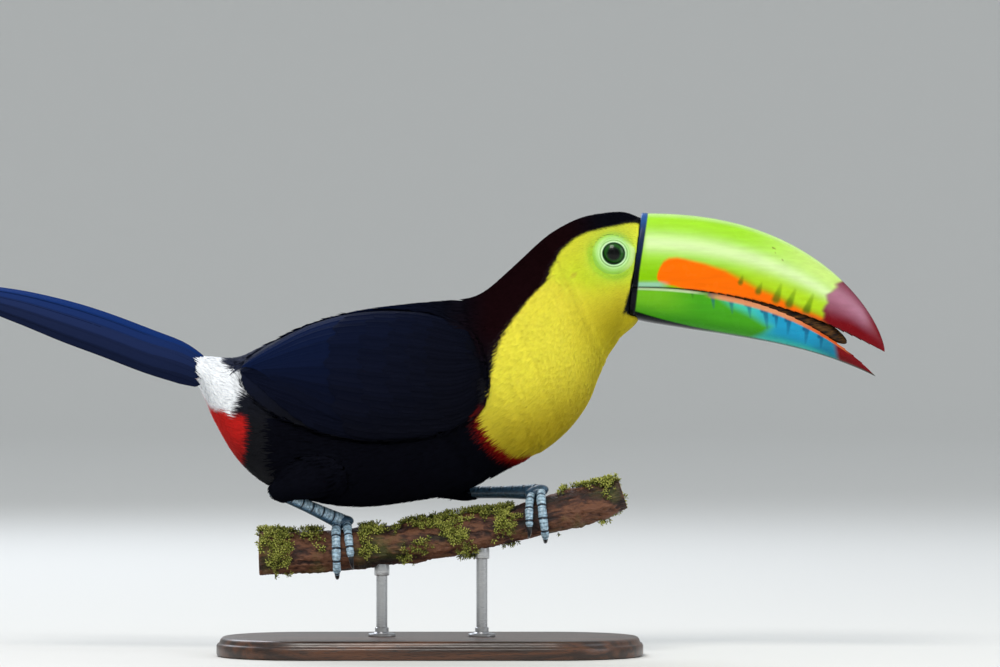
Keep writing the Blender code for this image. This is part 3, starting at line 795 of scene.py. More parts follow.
def skin_colours(plumage, form, at, turn, x, y, z):
    """The markings, with painted sheen and shade, at points in millimetres, as linear colours.
    Skin and coat share them.
    """
    tint = plain(plumage.black, len(x))
    body = form == 0
    # Painted navy sheen over the back, the wings' upper parts and the rump, stronger higher up.
    high = ramp(120, 178, z) * ramp(20, -70, x)
    paint(tint, plumage.navy_sheen, 0.5 * high)
    # The hind neck and mantle turn maroon.
    nape = ramp(10, 34, x) * ramp(96, 74, x) * ramp(150, 178, z)
    paint(tint, "#17080B", nape * body)
    # Crimson band under the bib, fading into the black belly.
    bib = from_line(x, z, BIB_LINE, BIB_CORNERS)
    bib = np.where(body & (at > 7.0), bib, -60)
    width = np.interp(z, [104, 112, 125, 136, 142], [13, 12, 8.5, 3.5, 0.5])
    band = ramp(-width, -0.25 * width, bib) * ramp(143, 134, z)
    paint(tint, "#2E0504", band)
    paint(tint, plumage.crimson, ramp(-0.8 * width, -0.1 * width, bib) * ramp(143, 134, z))
    # The yellow bib and face, with lime round the eye and a painted olive shade under the throat.
    yellow = ramp(-0.7, 0.7, bib)
    face = plain(plumage.yellow, len(x))
    paint(face, "#E9F03C", 0.75 * ramp(196, 206, z) * (at > 11.5))
    gold = ramp(205, 170, z) * ramp(60, 88, x - (200 - z) * 0.25)
    paint(face, "#DCCB1E", 0.45 * gold)
    # Painted shade: olive on the downward faces low on the bib, and darker under the chin.
    painted_under_shade = ramp(0.1, -0.9, np.cos(turn)) * ramp(174, 124, z)
    paint(face, "#AB9210", 0.85 * painted_under_shade)
    chin = ramp(0.3, -0.8, np.cos(turn)) * ramp(11.0, 14.5, at)
    paint(face, "#A6950A", 0.75 * chin)
    from_eye = eye_distance(x, z)
    lores = np.exp(-(((x - 103) / 13) ** 2) - (((z - 206) / 9) ** 2))
    cheek = np.exp(-(((x - 88) / 17) ** 2) - (((z - 205) / 11) ** 2))
    paint(face, "#CCE42C", 0.8 * np.maximum(lores, cheek) * (at > 12.2))
    paint(face, "#D6F04C", 0.7 * ramp(21, 10, from_eye) * (at > 12.5))
    # Painted shadow: a darker green crescent round the bare skin's lower rear side.
    low_rear = ramp(-4, 8, -(x - EYE_AT[0]) * 0.6 - (z - EYE_AT[2]))
    shadow_crescent = np.exp(-(((from_eye - 12.6) / 1.8) ** 2)) * low_rear
    paint(face, "#B4EA5E", 0.9 * ramp(12.8, 9.4, from_eye) * (at > 12.5))
    paint(face, "#93CF38", 0.7 * shadow_crescent * (at > 12.5))
    ear = np.hypot(x - EAR_AT[0], z - EAR_AT[1])
    paint(face, "#C08A3C", 0.4 * ramp(2.0, 0.6, ear))
    tint += (face - tint) * (yellow * body)[:, None]
    # White rump above, red under the tail.
    edge = np.array(sorted((q, p) for p, q in WHITE_BACK_EDGE))
    white_to = np.interp(z, edge[:, 0], edge[:, 1])
    ragged = 1.1 * np.sin(0.9 * x + 0.7 * y) + 0.8 * np.sin(2.1 * x - 1.3 * y)
    low = WHITE_LOW + 1.25 * np.maximum(0, -117 - x) + ragged
    white = ramp(white_to + 1.0, white_to - 1.0, x) * ramp(low - 1.6, low + 1.6, z)
    edge = np.array(sorted((q, p) for p, q in RED_FRONT_EDGE))
    red_to = np.interp(z, edge[:, 0], edge[:, 1])
    red = ramp(red_to + 1.2, red_to - 1.2, x) * ramp(low + 1.6, low - 1.6, z)
    paint(tint, plumage.red, red * body)
    paint(tint, "#6E0B0A", 0.6 * red * ramp(120, 100, z) * body)
    paint(tint, plumage.white, white * body)
    paint(tint, "#F0C9CC", 0.6 * white * ramp(-108, -118, x) * ramp(low + 5, low, z) * body)
    # A black rim of feathers at the bill.
    rim = bill_distance(x, z)
    wide = np.interp(z, [182, 184, 186, 196, 202, 206, 238], [0, 2.6, 2.6, 1.5, 1.3, 0.4, 0.3])
    paint(tint, "#0A0C14", ramp(wide + 0.4, wide - 0.2, rim) * body * (at > 14) * (z > 182.5))
    return tint


def unwrap_of(form, first, second):
    """Places on one flat unwrap: body, then wings, then thighs, each with room of its own."""
    turn = np.where(second < 0, second + math.tau, second) / math.tau
    u = 0.02 + 0.60 * turn
    v = 0.02 + 0.74 * (first - STUB_END) / (LAST - STUB_END)
    for number, low in ((1, 0.02), (2, 0.50)):
        u = np.where(form == number, 0.66 + 0.32 * first, u)
        v = np.where(form == number, low + 0.44 * (second + 1) / 2, v)
    for number, low in ((3, 0.02), (4, 0.34)):
        u = np.where(form == number, low + 0.27 * (second / math.tau), u)
        v = np.where(form == number, 0.80 + 0.17 * first, v)
    return u, v


def neighbours(values, edges):
    """The sum of a vertex's neighbours' values, for each vertex."""
    ends = np.concatenate([edges[:, 0], edges[:, 1]])
    others = np.concatenate([edges[:, 1], edges[:, 0]])
    sums = [np.bincount(ends, column[others], len(values)) for column in values.T]
    return np.stack(sums, -1)


def soften_creases(points, edges):
    """Relaxes the surface behind the neck and under the chin, so that wings, thighs and chin
    sink into the plumage."""
    count = neighbours(np.ones((len(points), 1)), edges)
    x, _, z = points.T
    chin = np.exp(-(((x - 105) ** 2 + (z - 173) ** 2) / 60)) * ramp(182, 180, z)
    low = ramp(150, 120, z) * ramp(60, 44, x) * ramp(-104, -90, x)
    for leg in LEGS.values():
        low = low * ramp(12, 26, np.linalg.norm(points - np.array(leg.ankle), axis=1))
    for strength, passes in (((0.6 * np.maximum(ramp(62, 40, x), chin)), 14), (0.6 * low, 46)):
        free = strength[:, None]
        for _ in range(passes):
            points = points + free * (neighbours(points, edges) / count - points)
    return points


def make_skin(plumage):
    mesh = flesh_mesh()
    edges = numbers(mesh.edges, "vertices", 2).reshape(-1, 2)
    points = soften_creases(read(mesh), edges)
    move(mesh, points)
    form, first, second, lie = plan_of(points, body_samples())
    x, _, z = points.T
    body = form == 0
    # Refine the body's plan between its samples.
    at, turn = first[body], second[body]
    for _ in range(2):
        here = section_points(at, turn)
        along = (section_points(at + 0.02, turn) - here) / 0.02
        around = (section_points(at, turn + 0.02) - here) / 0.02
        left = points[body] - here
        aa, ab, bb = (along**2).sum(-1), (along * around).sum(-1), (around**2).sum(-1)
        pa, pb = (left * along).sum(-1), (left * around).sum(-1)
        det = np.maximum(aa * bb - ab * ab, 1e-6)
        at = np.clip(at + np.clip((pa * bb - pb * ab) / det, -0.1, 0.1), STUB_END, LAST)
        turn = turn + np.clip((pb * aa - pa * ab) / det, -0.1, 0.1)
    first[body], second[body] = at, turn
    # Smooth the lie of the feathers over the surface, where the forms meet.
    calm = (form > 2) & (first < 0.6)
    near_thigh = ramp(45, 20, np.abs(x + 58)) * ramp(140, 125, z)
    wide = np.maximum(calm, near_thigh * body)[:, None]
    for k in range(EVERYWHERE_PASSES + LOCAL_PASSES):
        mixed = unit(lie + neighbours(lie, edges))
        lie = mixed if k < EVERYWHERE_PASSES else lie + (mixed - lie) * wide
    normal = read(mesh, "normal")
    lie = unit(lie - normal * (lie * normal).sum(-1, keepdims=True))
    depth = coat_depth(form, first, second, x, z)
    # A feather has its tip's colour, so the markings are read part of a length behind the root.
    sections = [0, 2, 3, 8, 10, HEAD_FROM, 13.6, LAST]
    reach = np.interp(first, sections, [4, 4, 5, 5, 4.2, 3.2, 1.5, 1.2])
    reach = np.where(body, reach, 0.0)
    rooted = (points + lie * reach[:, None]).T
    tint = skin_colours(plumage, form, first, second, *rooted)
    store(mesh, "tint", tint)
    store(mesh, "lie", lie)
    sections = [0, 2, 8, 10, 12, 14.5, 16.2, LAST]
    proud = np.interp(first, sections, [0.8, 0.3, 0.3, 0, 0.2, 0.9, 1.2, 0.2])
    proud = np.where(body, proud * np.where(first > 13, ramp(0.1, 0.7, np.cos(second)), 1), 0.2)
    store(mesh, "coat", (depth + proud) * MM)
    from_eye = eye_distance(x, z)
    rim = bill_distance(x, z)
    head = body & (first > 13)
    size = np.where(head, 0.62 + 0.38 * ramp(8, 34, from_eye), 1.0)
    size = np.where(head, np.minimum(size, 0.45 + 0.05 * np.maximum(rim, 0)), size)
    size = np.where(body & (first < 2), np.interp(first, [0.2, 2], [0.9, 1.0]), size)
    throat = body & (first > 10.6) & (first <= HEAD_FROM)
    size = np.where(throat, np.interp(first, [10.6, HEAD_FROM], [1.0, 0.5]), size)
    store(mesh, "size", size)
    # Patches, one number to a face.
    corners = numbers(mesh.loops, "vertex_index")
    totals = numbers(mesh.polygons, "loop_total")
    one = corners[numbers(mesh.polygons, "loop_start")]
    f, a, b = form[one], first[one], second[one]
    fx, _, fz = points[one].T
    bib = from_line(fx, fz, BIB_LINE, BIB_CORNERS)
    number = {"bare": 0} | {name: each.number for name, each in PATCHES.items()}
    eye = eye_distance(fx, fz)
    at_bill = (bill_distance(fx, fz) < 0.8) & (fz > 182)
    wing, limb = (f == 1) | (f == 2), f > 2
    patch = np.where(np.cos(b) > 0.05, number["back"], number["belly"])
    for name, chosen in (  # a later row goes over an earlier one
        ("crown", (a > HEAD_FROM - 4.5) | ((a > 6.0) & (bib > -16))),
        ("breast", (a > 6.5) & (bib > -0.8)),
        ("throat", (a > 10.2) & (bib > -0.8)),
        ("face", (a > HEAD_FROM) & (bib > -1.3)),
        ("rump", a < 3.4),
        ("belly", limb),
        ("thigh", limb & (a > 0.55)),
        ("bare", wing | (limb & (a > 1.085))),
        ("shoulder", wing & (a > 0.76)),
        ("bare", (f == 0) & (((a > 14) & ((eye < BARE_SKIN) | at_bill)) | (a < 0.25))),
    ):
        patch[chosen] = number[name]
    store(mesh, "patch", patch.astype(np.int32), "FACE")
    # The unwrap goes on corners, so that a face across its seam stays whole.
    loop_form = np.repeat(f, totals)
    loop_first, loop_second = first[corners], second[corners]
    base = np.repeat(second[one], totals)
    wraps = (loop_form == 0) | (loop_form > 2)
    base = np.where(base < 0, base + math.tau, base)
    loop_second = np.where(
        wraps, base + (loop_second - base + math.pi) % math.tau - math.pi, loop_second
    )
    loop_second = np.where(wraps & (loop_second < 0), 0.0, loop_second)
    u, v = unwrap_of(loop_form, loop_first, loop_second)
    store(mesh, "unwrap", flat(u, v), "CORNER")
    # Last, the skin draws in by the coat's depth, and back from the eyes.
    points = points - normal * depth[:, None]
    socket = np.sqrt(np.maximum(0, EYE_RADIUS**2 - np.minimum(from_eye, EYE_RADIUS) ** 2)) - 1.0
    sunk = EYE_AT[1] + socket
    limit = np.where(body & (first > 13) & (from_eye < 7.2), sunk, 99.0)
    points[:, 1] = np.sign(points[:, 1]) * np.minimum(np.abs(points[:, 1]), limit)
    move(mesh, points)
    return mesh


# ======== finishes of the bird
def patterned(add, shader, tint, pattern, shades, strength, distance, film):
    """A tint that a pattern lightens and darkens, and the same pattern raised a little."""
    shade = add("MapRange", pattern, *shades)
    tinted = add("VectorMath SCALE", tint, shade)
    bump = add("Bump", {"Height": pattern, "Strength": strength, "Distance": distance})
    feed(shader, {"Base Color": tinted, "Normal": bump, **film})


def skin_material():
    """Bird skin under plumage. Matt, softly wrinkled, in the markings' colours."""
    made, add, shader = new_material("bird skin")
    tint = add("Attribute", attribute_name="tint")
    mottle = add("TexNoise", add("TexCoord").outputs["Object"], 900.0, 4.0)
    film = {"Roughness": 0.65, "Specular IOR Level": 0.06}
    patterned(add, shader, tint, mottle, (0.0, 1.0, 0.62, 1.0), 0.35, 0.0004, film)
    return made


def feather_material(name, barbs, gloss, shine, glow=0.0, contrast=1.0, edge=1.0):
    """Contour feathers. Each keeps its root's colour, with fine barbs either side of the shaft
    and its own slight tone. Painted shade darkens it towards the root and, as much as edge
    says, at the vane's edges; a painted highlight makes its thinner tip paler."""
    made, add, shader = new_material(name)
    tint, vane, tone = (add("Attribute", attribute_name=n) for n in ("tint", "vane", "tone"))
    across, along, _ = add("SeparateXYZ", vane.outputs["Vector"]).outputs
    out = add("Math ABSOLUTE", across)
    slant = add("Math MULTIPLY_ADD", out, -0.35, along)
    lines = add("Math SINE", add("Math MULTIPLY", slant, barbs))
    # Painted shade where the feathers overlap: the vane darkens towards its edges, down to edge.
    shade = add("MapRange", out, 0.72, 0.97, 1.0, edge)
    # A random tone, then painted shade at the root and a painted highlight at the tip, then barbs.
    for value, span in (
        (tone.outputs["Fac"], (0.0, 1.0, 1 - 0.12 * contrast, 1 + 0.12 * contrast)),
        (along, (0.1, 1.0, 1 - 0.16 * contrast, 1 + 0.08 * contrast)),
        (lines, (-1.0, 1.0, 1 - 0.07 * contrast, 1.04)),
    ):
        shade = add("Math MULTIPLY", shade, add("MapRange", value, *span))
    feed(shader, {
        "Base Color": add("VectorMath SCALE", tint, shade),
        "Normal": add("Bump", {"Height": lines, "Strength": 0.25, "Distance": 0.0001}),
        "Roughness": gloss, "Specular IOR Level": shine,
        "Subsurface Weight": glow, "Subsurface Radius": (0.0012, 0.001, 0.0004),
    })
    return made


def horn_material(name):
    """Bill horn, a thin polished sheath. Markings, with painted highlights, sheen and shade among
    them, lie under a clear gloss, with fine growth lines along the bill and a little haze where
    it is worn."""
    made, add, shader = new_material(name)
    tint = add("Attribute", attribute_name="tint")
    where = add("TexCoord").outputs["Object"]
    lines = add("TexNoise", add("Mapping", where, {"Scale": (60.0, 420.0, 420.0)}), 1.0, 5.0)
    worn = add("MapRange", add("TexNoise", where, 160.0, 3.0), 0.35, 0.7, 0.19, 0.33)
    film = {
        "Roughness": worn, "Specular IOR Level": 0.08, "Coat Weight": 0.06, "Coat Roughness": 0.12,
        "Subsurface Weight": 0.08, "Subsurface Radius": (0.002, 0.003, 0.001),
    }
    patterned(add, shader, tint, lines, (0.3, 0.7, 0.85, 0.97), 0.18, 0.0003, film)
    return made


def eye_material():
    """A wet eye. Dark green iris with fine rays and a black pupil, under a clear cornea."""
    made, add, shader = new_material("wet cornea over a dark green iris")
    reach = add("Attribute", attribute_name="reach").outputs["Fac"]
    turn = add("Attribute", attribute_name="turn").outputs["Fac"]
    rays = add("Mapping", add("CombineXYZ", turn, reach), {"Scale": (9.0, 0.35, 1.0)})
    rays = add("TexNoise", rays, 1.0, 3.0)
    share = add("Math DIVIDE", add("Math MULTIPLY_ADD", rays, 0.8, reach), 8.0)
    pupil = [(0.0, "#010202"), (0.38, "#020403")]
    iris = [(0.46, "#0A200C"), (0.60, "#1C5212"), (0.74, "#16420F"), (0.82, "#040904")]
    tones = add("ValToRGB", share, stops=[*pupil, *iris, (1.0, "#020302")])
    feed(shader, {
        "Base Color": tones, "Roughness": 0.25, "Specular IOR Level": 0.1,
        "Coat Weight": 0.35, "Coat Roughness": 0.03, "Coat IOR": 1.38,
    })
    return made


def leg_material():
    """Scaly leg skin. Dull blue scutes, with pale crowns as painted highlights and darker
    creases between as painted shade.
    """
    made, add, shader = new_material("scaly blue leg skin")
    crest = add("Attribute", attribute_name="crest").outputs["Fac"]
    mottle = add("TexNoise", add("TexCoord").outputs["Object"], 700.0, 4.0)
    # From painted shade in the creases to painted highlight on the crowns.
    stops = [(0.0, "#070C11"), (0.35, "#233A4C"), (0.7, "#4B6E8A"), (1.0, "#A2BDCE")]
    tones = add("ValToRGB", crest, stops=stops)
    film = {"Roughness": 0.3, "Specular IOR Level": 0.6}
    patterned(add, shader, tones, mottle, (0.35, 0.65, 0.5, 1.25), 0.4, 0.0004, film)
    return made


def claw_material():
    """Claw horn. Near black and smooth, with a faint, uneven paler mottle."""
    made, add, shader = new_material("black claw horn")
    lines = add("TexNoise", add("TexCoord").outputs["Object"], 500.0, 3.0)
    tones = add("ValToRGB", lines, stops=[(0.0, "#0C0E11"), (1.0, "#33363A")])
    feed(shader, {"Base Color": tones, "Roughness": 0.28})
    return made


def lid_material():
    """Bare skin round the eye. Pale green, finely wrinkled in rings, with a dark lid margin."""
    made, add, shader = new_material("bare green lid skin")
    tint = add("Attribute", attribute_name="tint")
    cells = add("TexVoronoi", add("TexCoord").outputs["Object"], 1500.0)
    glow = {"Subsurface Weight": 0.1, "Subsurface Radius": (0.001, 0.002, 0.001)}
    film = {"Roughness": 0.42, **glow}
    patterned(add, shader, tint, cells, (0.0, 0.6, 1.03, 0.93), -0.2, 0.0001, film)
    return made


# ======== laid feathers
def form_object(name, points, plan_u, plan_v, room):
    """A hidden sheet that long feathers lie on, with its plan and the room above it."""
    mesh = grid_mesh(name, points)
    store(mesh, "plan", flat(plan_u.ravel(), plan_v.ravel()))
    store(mesh, "room", room.ravel() * MM)
    return hidden(name, mesh)


def lay_feathers(name, tree, blank, form, quills, thickness, material):
    """quills holds, for each feather: root and tip on the plan, half width, bend and stack."""
    mesh = bpy.data.meshes.new(name)
    mesh.from_pydata([(0, 0, i * MM) for i in range(len(quills))], [], [])
    rows = np.array(quills, float)
    store(mesh, "root", flat(rows[:, 0], rows[:, 1]))
    store(mesh, "tip", flat(rows[:, 2], rows[:, 3]))
    store(mesh, "shape", rows[:, 4:7])
    middle = (np.arange(len(rows)) + 0.5) / len(rows)
    store(mesh, "strip", flat(middle, np.full(len(rows), 0.46 / len(rows))))
    store(mesh, "tint", rows[:, 7:10])
    store(mesh, "tone", (np.arange(len(rows)) * 0.618) % 1.0)
    values = {"Blade": blank, "Form": form, "Thickness": thickness * MM, "Finish": material}
    return add_object(name, grown(name, mesh, tree, **values))


def wing_room(u, v):
    """The depth of the wing's feathers at a place on its plan, in millimetres."""
    round_off = np.sin(np.pi * np.clip(u, 1e-6, 1 - 1e-6)) ** 0.35
    return 0.6 + 1.6 * np.sqrt(np.maximum(0, 1 - v * v)) * round_off


def wing_form(name, side):
    u, v = pairs(np.linspace(0, 1, 61), np.linspace(-1, 1, 41))
    outer = wing_points(u, v, side, 1.0)
    room = wing_room(u, v)
    points = outer - unit(outer - wing_points(u, v, side, 0.0)) * room[..., None]
    if side > 0:
        points, u, v, room = (m[:, ::-1] for m in (points, u, v, room))
    return form_object(name, points, u, (v + 1) / 2, room)


def wing_quills(plumage):
    """The folded wing, from the lowest layer up: primaries, secondaries, tertials, coverts."""
    black, navy_sheen = (np.array(colour(code)) for code in (plumage.black, plumage.navy_sheen))
    rows = []

    # blue, a feather's share of navy, is painted sheen: more on higher layers, over the back and
    # towards the upper edge.
    def add(root, tip, half, bend, stack, blue):
        tint = black + (navy_sheen - black) * blue
        rows.append((*root, *tip, half, bend, stack, *tint))

    for k in range(11):  # primaries, lowest first, stepping back along the wing's lower edge
        s = k / 10
        root = (0.62 - 0.05 * s, 0.965 - 0.25 * s)
        tip = (0.004 + 0.44 * (1 - s) ** 1.3, 0.975 - 0.42 * s**1.6)
        add(root, tip, 0.07 + 0.015 * s, 0.03, 0.06 + 0.20 * s, 0.04 + 0.1 * s)
    for k in range(11):  # secondaries, lowest first, then the tertials over the back
        s = k / 10
        root, tip = (0.60, 0.84 - 0.74 * s), (0.19 - 0.184 * s, 0.66 - 0.30 * s)
        add(root, tip, 0.085, 0.05 - 0.09 * s, 0.28 + 0.34 * s, 0.1 + 0.45 * s)
    for low, high, root, tip, half, stack in (  # greater, median and lesser coverts
        (0.93, 0.07, 0.72, 0.44, 0.055, 0.62), (0.94, 0.06, 0.80, 0.55, 0.048, 0.70),
        (0.95, 0.05, 0.86, 0.64, 0.040, 0.77), (0.95, 0.05, 0.90, 0.715, 0.036, 0.84),
        (0.94, 0.06, 0.95, 0.78, 0.032, 0.90),
    ):
        many = round(0.85 / half)
        for k in range(many):
            s = k / (many - 1)
            place = low + (high - low) * s
            uneven = 0.012 * math.sin(k * 2.4 + root * 9)
            bow = 0.05 * math.sin(math.pi * s)
            add(
                (root, place), (tip - bow + uneven, 0.5 + (place - 0.5) * 0.93 + 0.02), half,
                0.02, stack + 0.06 * s, (0.03 + 0.3 * s) * ramp(1.1, 0.6, root),
            )
    return rows


def tail_form():
    at, turn = pairs(np.linspace(0, 8, 65), np.linspace(-90, 90, 37))
    outer = tail_points(at, turn)
    centre = tail_points(at, turn, 0.5)
    room = 1.3 * np.minimum(1, 0.25 + (8 - at) * 0.9)
    points = outer - unit(outer - centre) * room[..., None]
    return form_object("tail_form", points, at / 8, (turn + 90) / 180, room)


def tail_quills(plumage):
    """Ten tail feathers, folded: the outer pair lowest and shortest, the middle pair on top."""
    black, navy_sheen = (np.array(colour(code)) for code in (plumage.black, plumage.navy_sheen))
    rows = []
    # blue, a pair's share of navy, is painted sheen, strongest on the middle pair on top.
    for k, (place, half, tip, stack, blue, grey) in enumerate(
        (
            (80, 14, 0.905, 0.06, 0.45, 0.004), (64, 17, 0.935, 0.26, 0.7, 0.006),
            (47, 18, 0.96, 0.46, 1.1, 0.008), (30, 19, 0.98, 0.66, 1.6, 0.004),
            (12, 20, 0.997, 0.86, 2.1, 0.0),
        )
    ):
        for side in (-1, 1):
            middle = (90 + side * place) / 180
            high = stack + (0.1 if side < 0 and k == 4 else 0)
            tint = black + (navy_sheen - black) * blue + grey
            rows.append((0.003, middle, tip, middle - side * 0.01, half / 180, 0.0, high, *tint))
    return rows


# ======== bill
def from_base(height, tip_x, t):
    """How far forward a line of the bill is, from its height on the head's front plane."""
    top, low = BODY[-1][:2], BODY[-1][2:4]
    base_x = low[0] + (top[0] - low[0]) * (height - low[1]) / (top[1] - low[1]) + MOUTH_GAP / 2
    return base_x + (tip_x - base_x) * t


def culmen(t):
    z = UPPER_TIP[1] + (CULMEN_BASE - UPPER_TIP[1]) * (1 - t**2.35) ** 0.66
    return np.stack([from_base(CULMEN_BASE, UPPER_TIP[0], t), z], -1)


def upper_edge(t):
    drop = (GAPE_BASE - UPPER_TIP[1]) * t**2.2
    return np.stack([from_base(GAPE_BASE, UPPER_TIP[0], t), GAPE_BASE - drop], -1)


def lower_edge(t):
    start = GAPE_BASE - MOUTH_GAP
    drop = (GAPE_BASE - UPPER_TIP[1]) * t**2.2 + (UPPER_TIP[1] - LOWER_TIP[1]) * t**4
    return np.stack([from_base(start, LOWER_TIP[0], t), start - drop], -1)


def keel(t):
    missing = LOWER_DEPTH - (GAPE_BASE - MOUTH_GAP - CHIN_BASE)
    depth = (LOWER_DEPTH - missing * (1 - t) ** 5) * (1 - t**2.8)
    return np.stack([from_base(CHIN_BASE, LOWER_TIP[0], t), lower_edge(t)[:, 1] - depth], -1)


def saw(run, pitch, seed):
    """Forward-raked teeth along a cutting edge, uneven in length."""
    place = run / pitch
    number = np.floor(place)
    uneven = 0.55 + 0.45 * np.sin(number * 12.9898 + seed) ** 2
    return (place - number) ** 1.6 * uneven


def mandible_mesh(name, edge, ridge, half_width, teeth):
    """One half of the bill: an arch from one cutting edge over the ridge to the other, closed
    by the hollowed mouth side. Returns the mesh with its rise: 0 at the edge, 1 at the ridge."""
    rows, columns = ((480, 113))
    t = 0.9985 * np.sin(np.pi / 2 * np.linspace(0, 1, rows))
    low, high = edge(t), ridge(t)
    width = half_width * (1 - t * t) ** 0.62
    # Columns stand evenly along the arch of a middling slice.
    fine = np.pi * np.linspace(0, 1, 2001)
    span = 17 * np.sign(np.cos(fine)) * np.abs(np.cos(fine)) ** 0.8
    arc = np.stack([span, 28 * np.sin(fine) ** 0.8])
    run = np.concatenate([[0], np.cumsum(np.linalg.norm(np.diff(arc), axis=0))])
    angle = np.interp(np.linspace(0, run[-1], columns), run, fine)
    across = np.sign(np.cos(angle)) * np.abs(np.cos(angle)) ** 0.8
    rise = np.clip(np.sin(angle), 0, 1) ** 0.8
    spot = low[:, None, :] + (high - low)[:, None, :] * rise[None, :, None]
    run = (low[:, 0] - low[0, 0])[:, None]
    bite = teeth * saw(run, 4.6, 0.7) * ramp(30, 44, run) * ramp(1.0, 0.93, t)[:, None]
    spot[..., 1] += bite * (1 - rise) ** 10 * np.sign(low[0, 1] - high[0, 1])
    arch = np.stack([spot[..., 0], width[:, None] * across[None], spot[..., 1]], -1)
    height = np.linalg.norm(high - low, axis=1)
    hollow = low + unit(high - low) * np.minimum(MOUTH_GROOVE, 0.3 * height)[:, None]
    shares = np.array([-0.9, -0.72, -0.36, 0.0, 0.36, 0.72, 0.9])
    deep = np.array([0.45, 1, 1, 1, 1, 1, 0.45])
    inner = low[:, None, :] + (hollow - low)[:, None, :] * deep[None, :, None]
    side = np.broadcast_to(width[:, None] * shares[None], inner.shape[:2])
    groove = np.stack([inner[..., 0], side, inner[..., 1]], -1)
    points = np.concatenate([arch, groove], axis=1)
    mesh = grid_mesh(name, points, wrap=True, caps=True)
    rise = np.concatenate([rise, np.full(len(shares), -1.0)])
    return mesh, points.reshape(-1, 3), np.broadcast_to(rise, points.shape[:2]).ravel()


def stroke(x, z, start, end, width):
    """How strongly a tapering stroke from start to end marks each point."""
    start, step = np.array(start, float), np.array(end, float) - np.array(start, float)
    spots = np.stack([x, z], -1) - start
    share = np.clip((spots * step).sum(-1) / (step**2).sum(), 0, 1)
    far = np.linalg.norm(spots - share[:, None] * step, axis=1)
    here = width * (1 - 0.65 * share)
    return ramp(here, here * 0.3, far) * (1 - 0.7 * share)


# The orange patch and the coloured tip on the upper mandible, the blue on the lower one.
ORANGE_TOP = [
    (121.4, 200), (121.6, 203), (122.4, 206), (123.8, 209.4), (125.6, 212.2), (128.5, 214.0),
    (133, 214.4), (137.2, 213.6), (148, 211.1), (158.8, 207.4), (167.4, 202.5), (176, 197.6),
    (184.7, 194.4), (191.2, 190.6), (199.8, 186.4), (206.3, 183.9), (213, 181),
]
ORANGE_LOW = [(121.4, 204), (123, 201.6), (126, 200.2), (131, 199.2), (138, 197), (230, 150)]
TIP_LINE = [(226, 207), (222.8, 202.4), (217.4, 197.6), (214, 192.8), (212.6, 187.2), (210.6, 178)]
UPPER_TICKS = [
    ((167.0, 201.0), (168.3, 204.6), 1.3), ((176.6, 196.2), (178.4, 200.4), 1.6),
    ((186.2, 192.0), (188.9, 199.6), 2.1), ((193.2, 189.4), (196.5, 196.8), 2.0),
    ((202.6, 185.8), (206.2, 194.4), 2.0),
]
BLUE_LINE = [
    (146, 199.0), (154.4, 194.2), (162, 188.6), (172, 184.2), (180, 179.5), (184.5, 177.5),
    (180, 173), (172, 169.5), (166, 166),
]
LOWER_TICKS = [
    ((141, 196.4), (141.5, 192.5), 1.3), ((152.0, 194.6), (152.7, 187.4), 2.0),
    ((162.0, 192.2), (162.7, 184.6), 2.2), ((171.6, 189.4), (172.4, 182.4), 2.1),
    ((180.5, 186.0), (181.6, 176.4), 2.3), ((186.5, 183.6), (186.4, 176.8), 1.7),
    ((193.4, 181.0), (192.6, 173.4), 2.2), ((203.1, 176.2), (202.3, 168.4), 2.2),
    ((211.0, 172.0), (210.6, 165.8), 1.8),
]
FLECKS = [((184.6, 219.6), (187.0, 219.2), 0.6), ((189.6, 213.6), (190.6, 212.4), 0.5),
          ((186.0, 217.2), (186.6, 217.0), 0.35), ((180.2, 206.0), (180.6, 205.8), 0.4)]


def base_band(x, z, colours):
    """The black line round the bill's base, with a painted blue sheen at the top."""
    ahead = -bill_distance(x, z)
    wide = np.interp(z, [181, 187, 194, 200, 207, 237], [3.6, 3.4, 3.2, 3.0, 2.7, 3.1])
    band = ramp(wide + 0.45, wide - 0.35, ahead)
    paint(colours, "#080B12", band)
    # Painted sheen: the band turns blue towards its top.
    paint(colours, "#1B2F55", 0.8 * band * ramp(204, 226, z))
    paint(colours, "#2F62A8", 0.8 * band * ramp(226, 238, z))
    return band


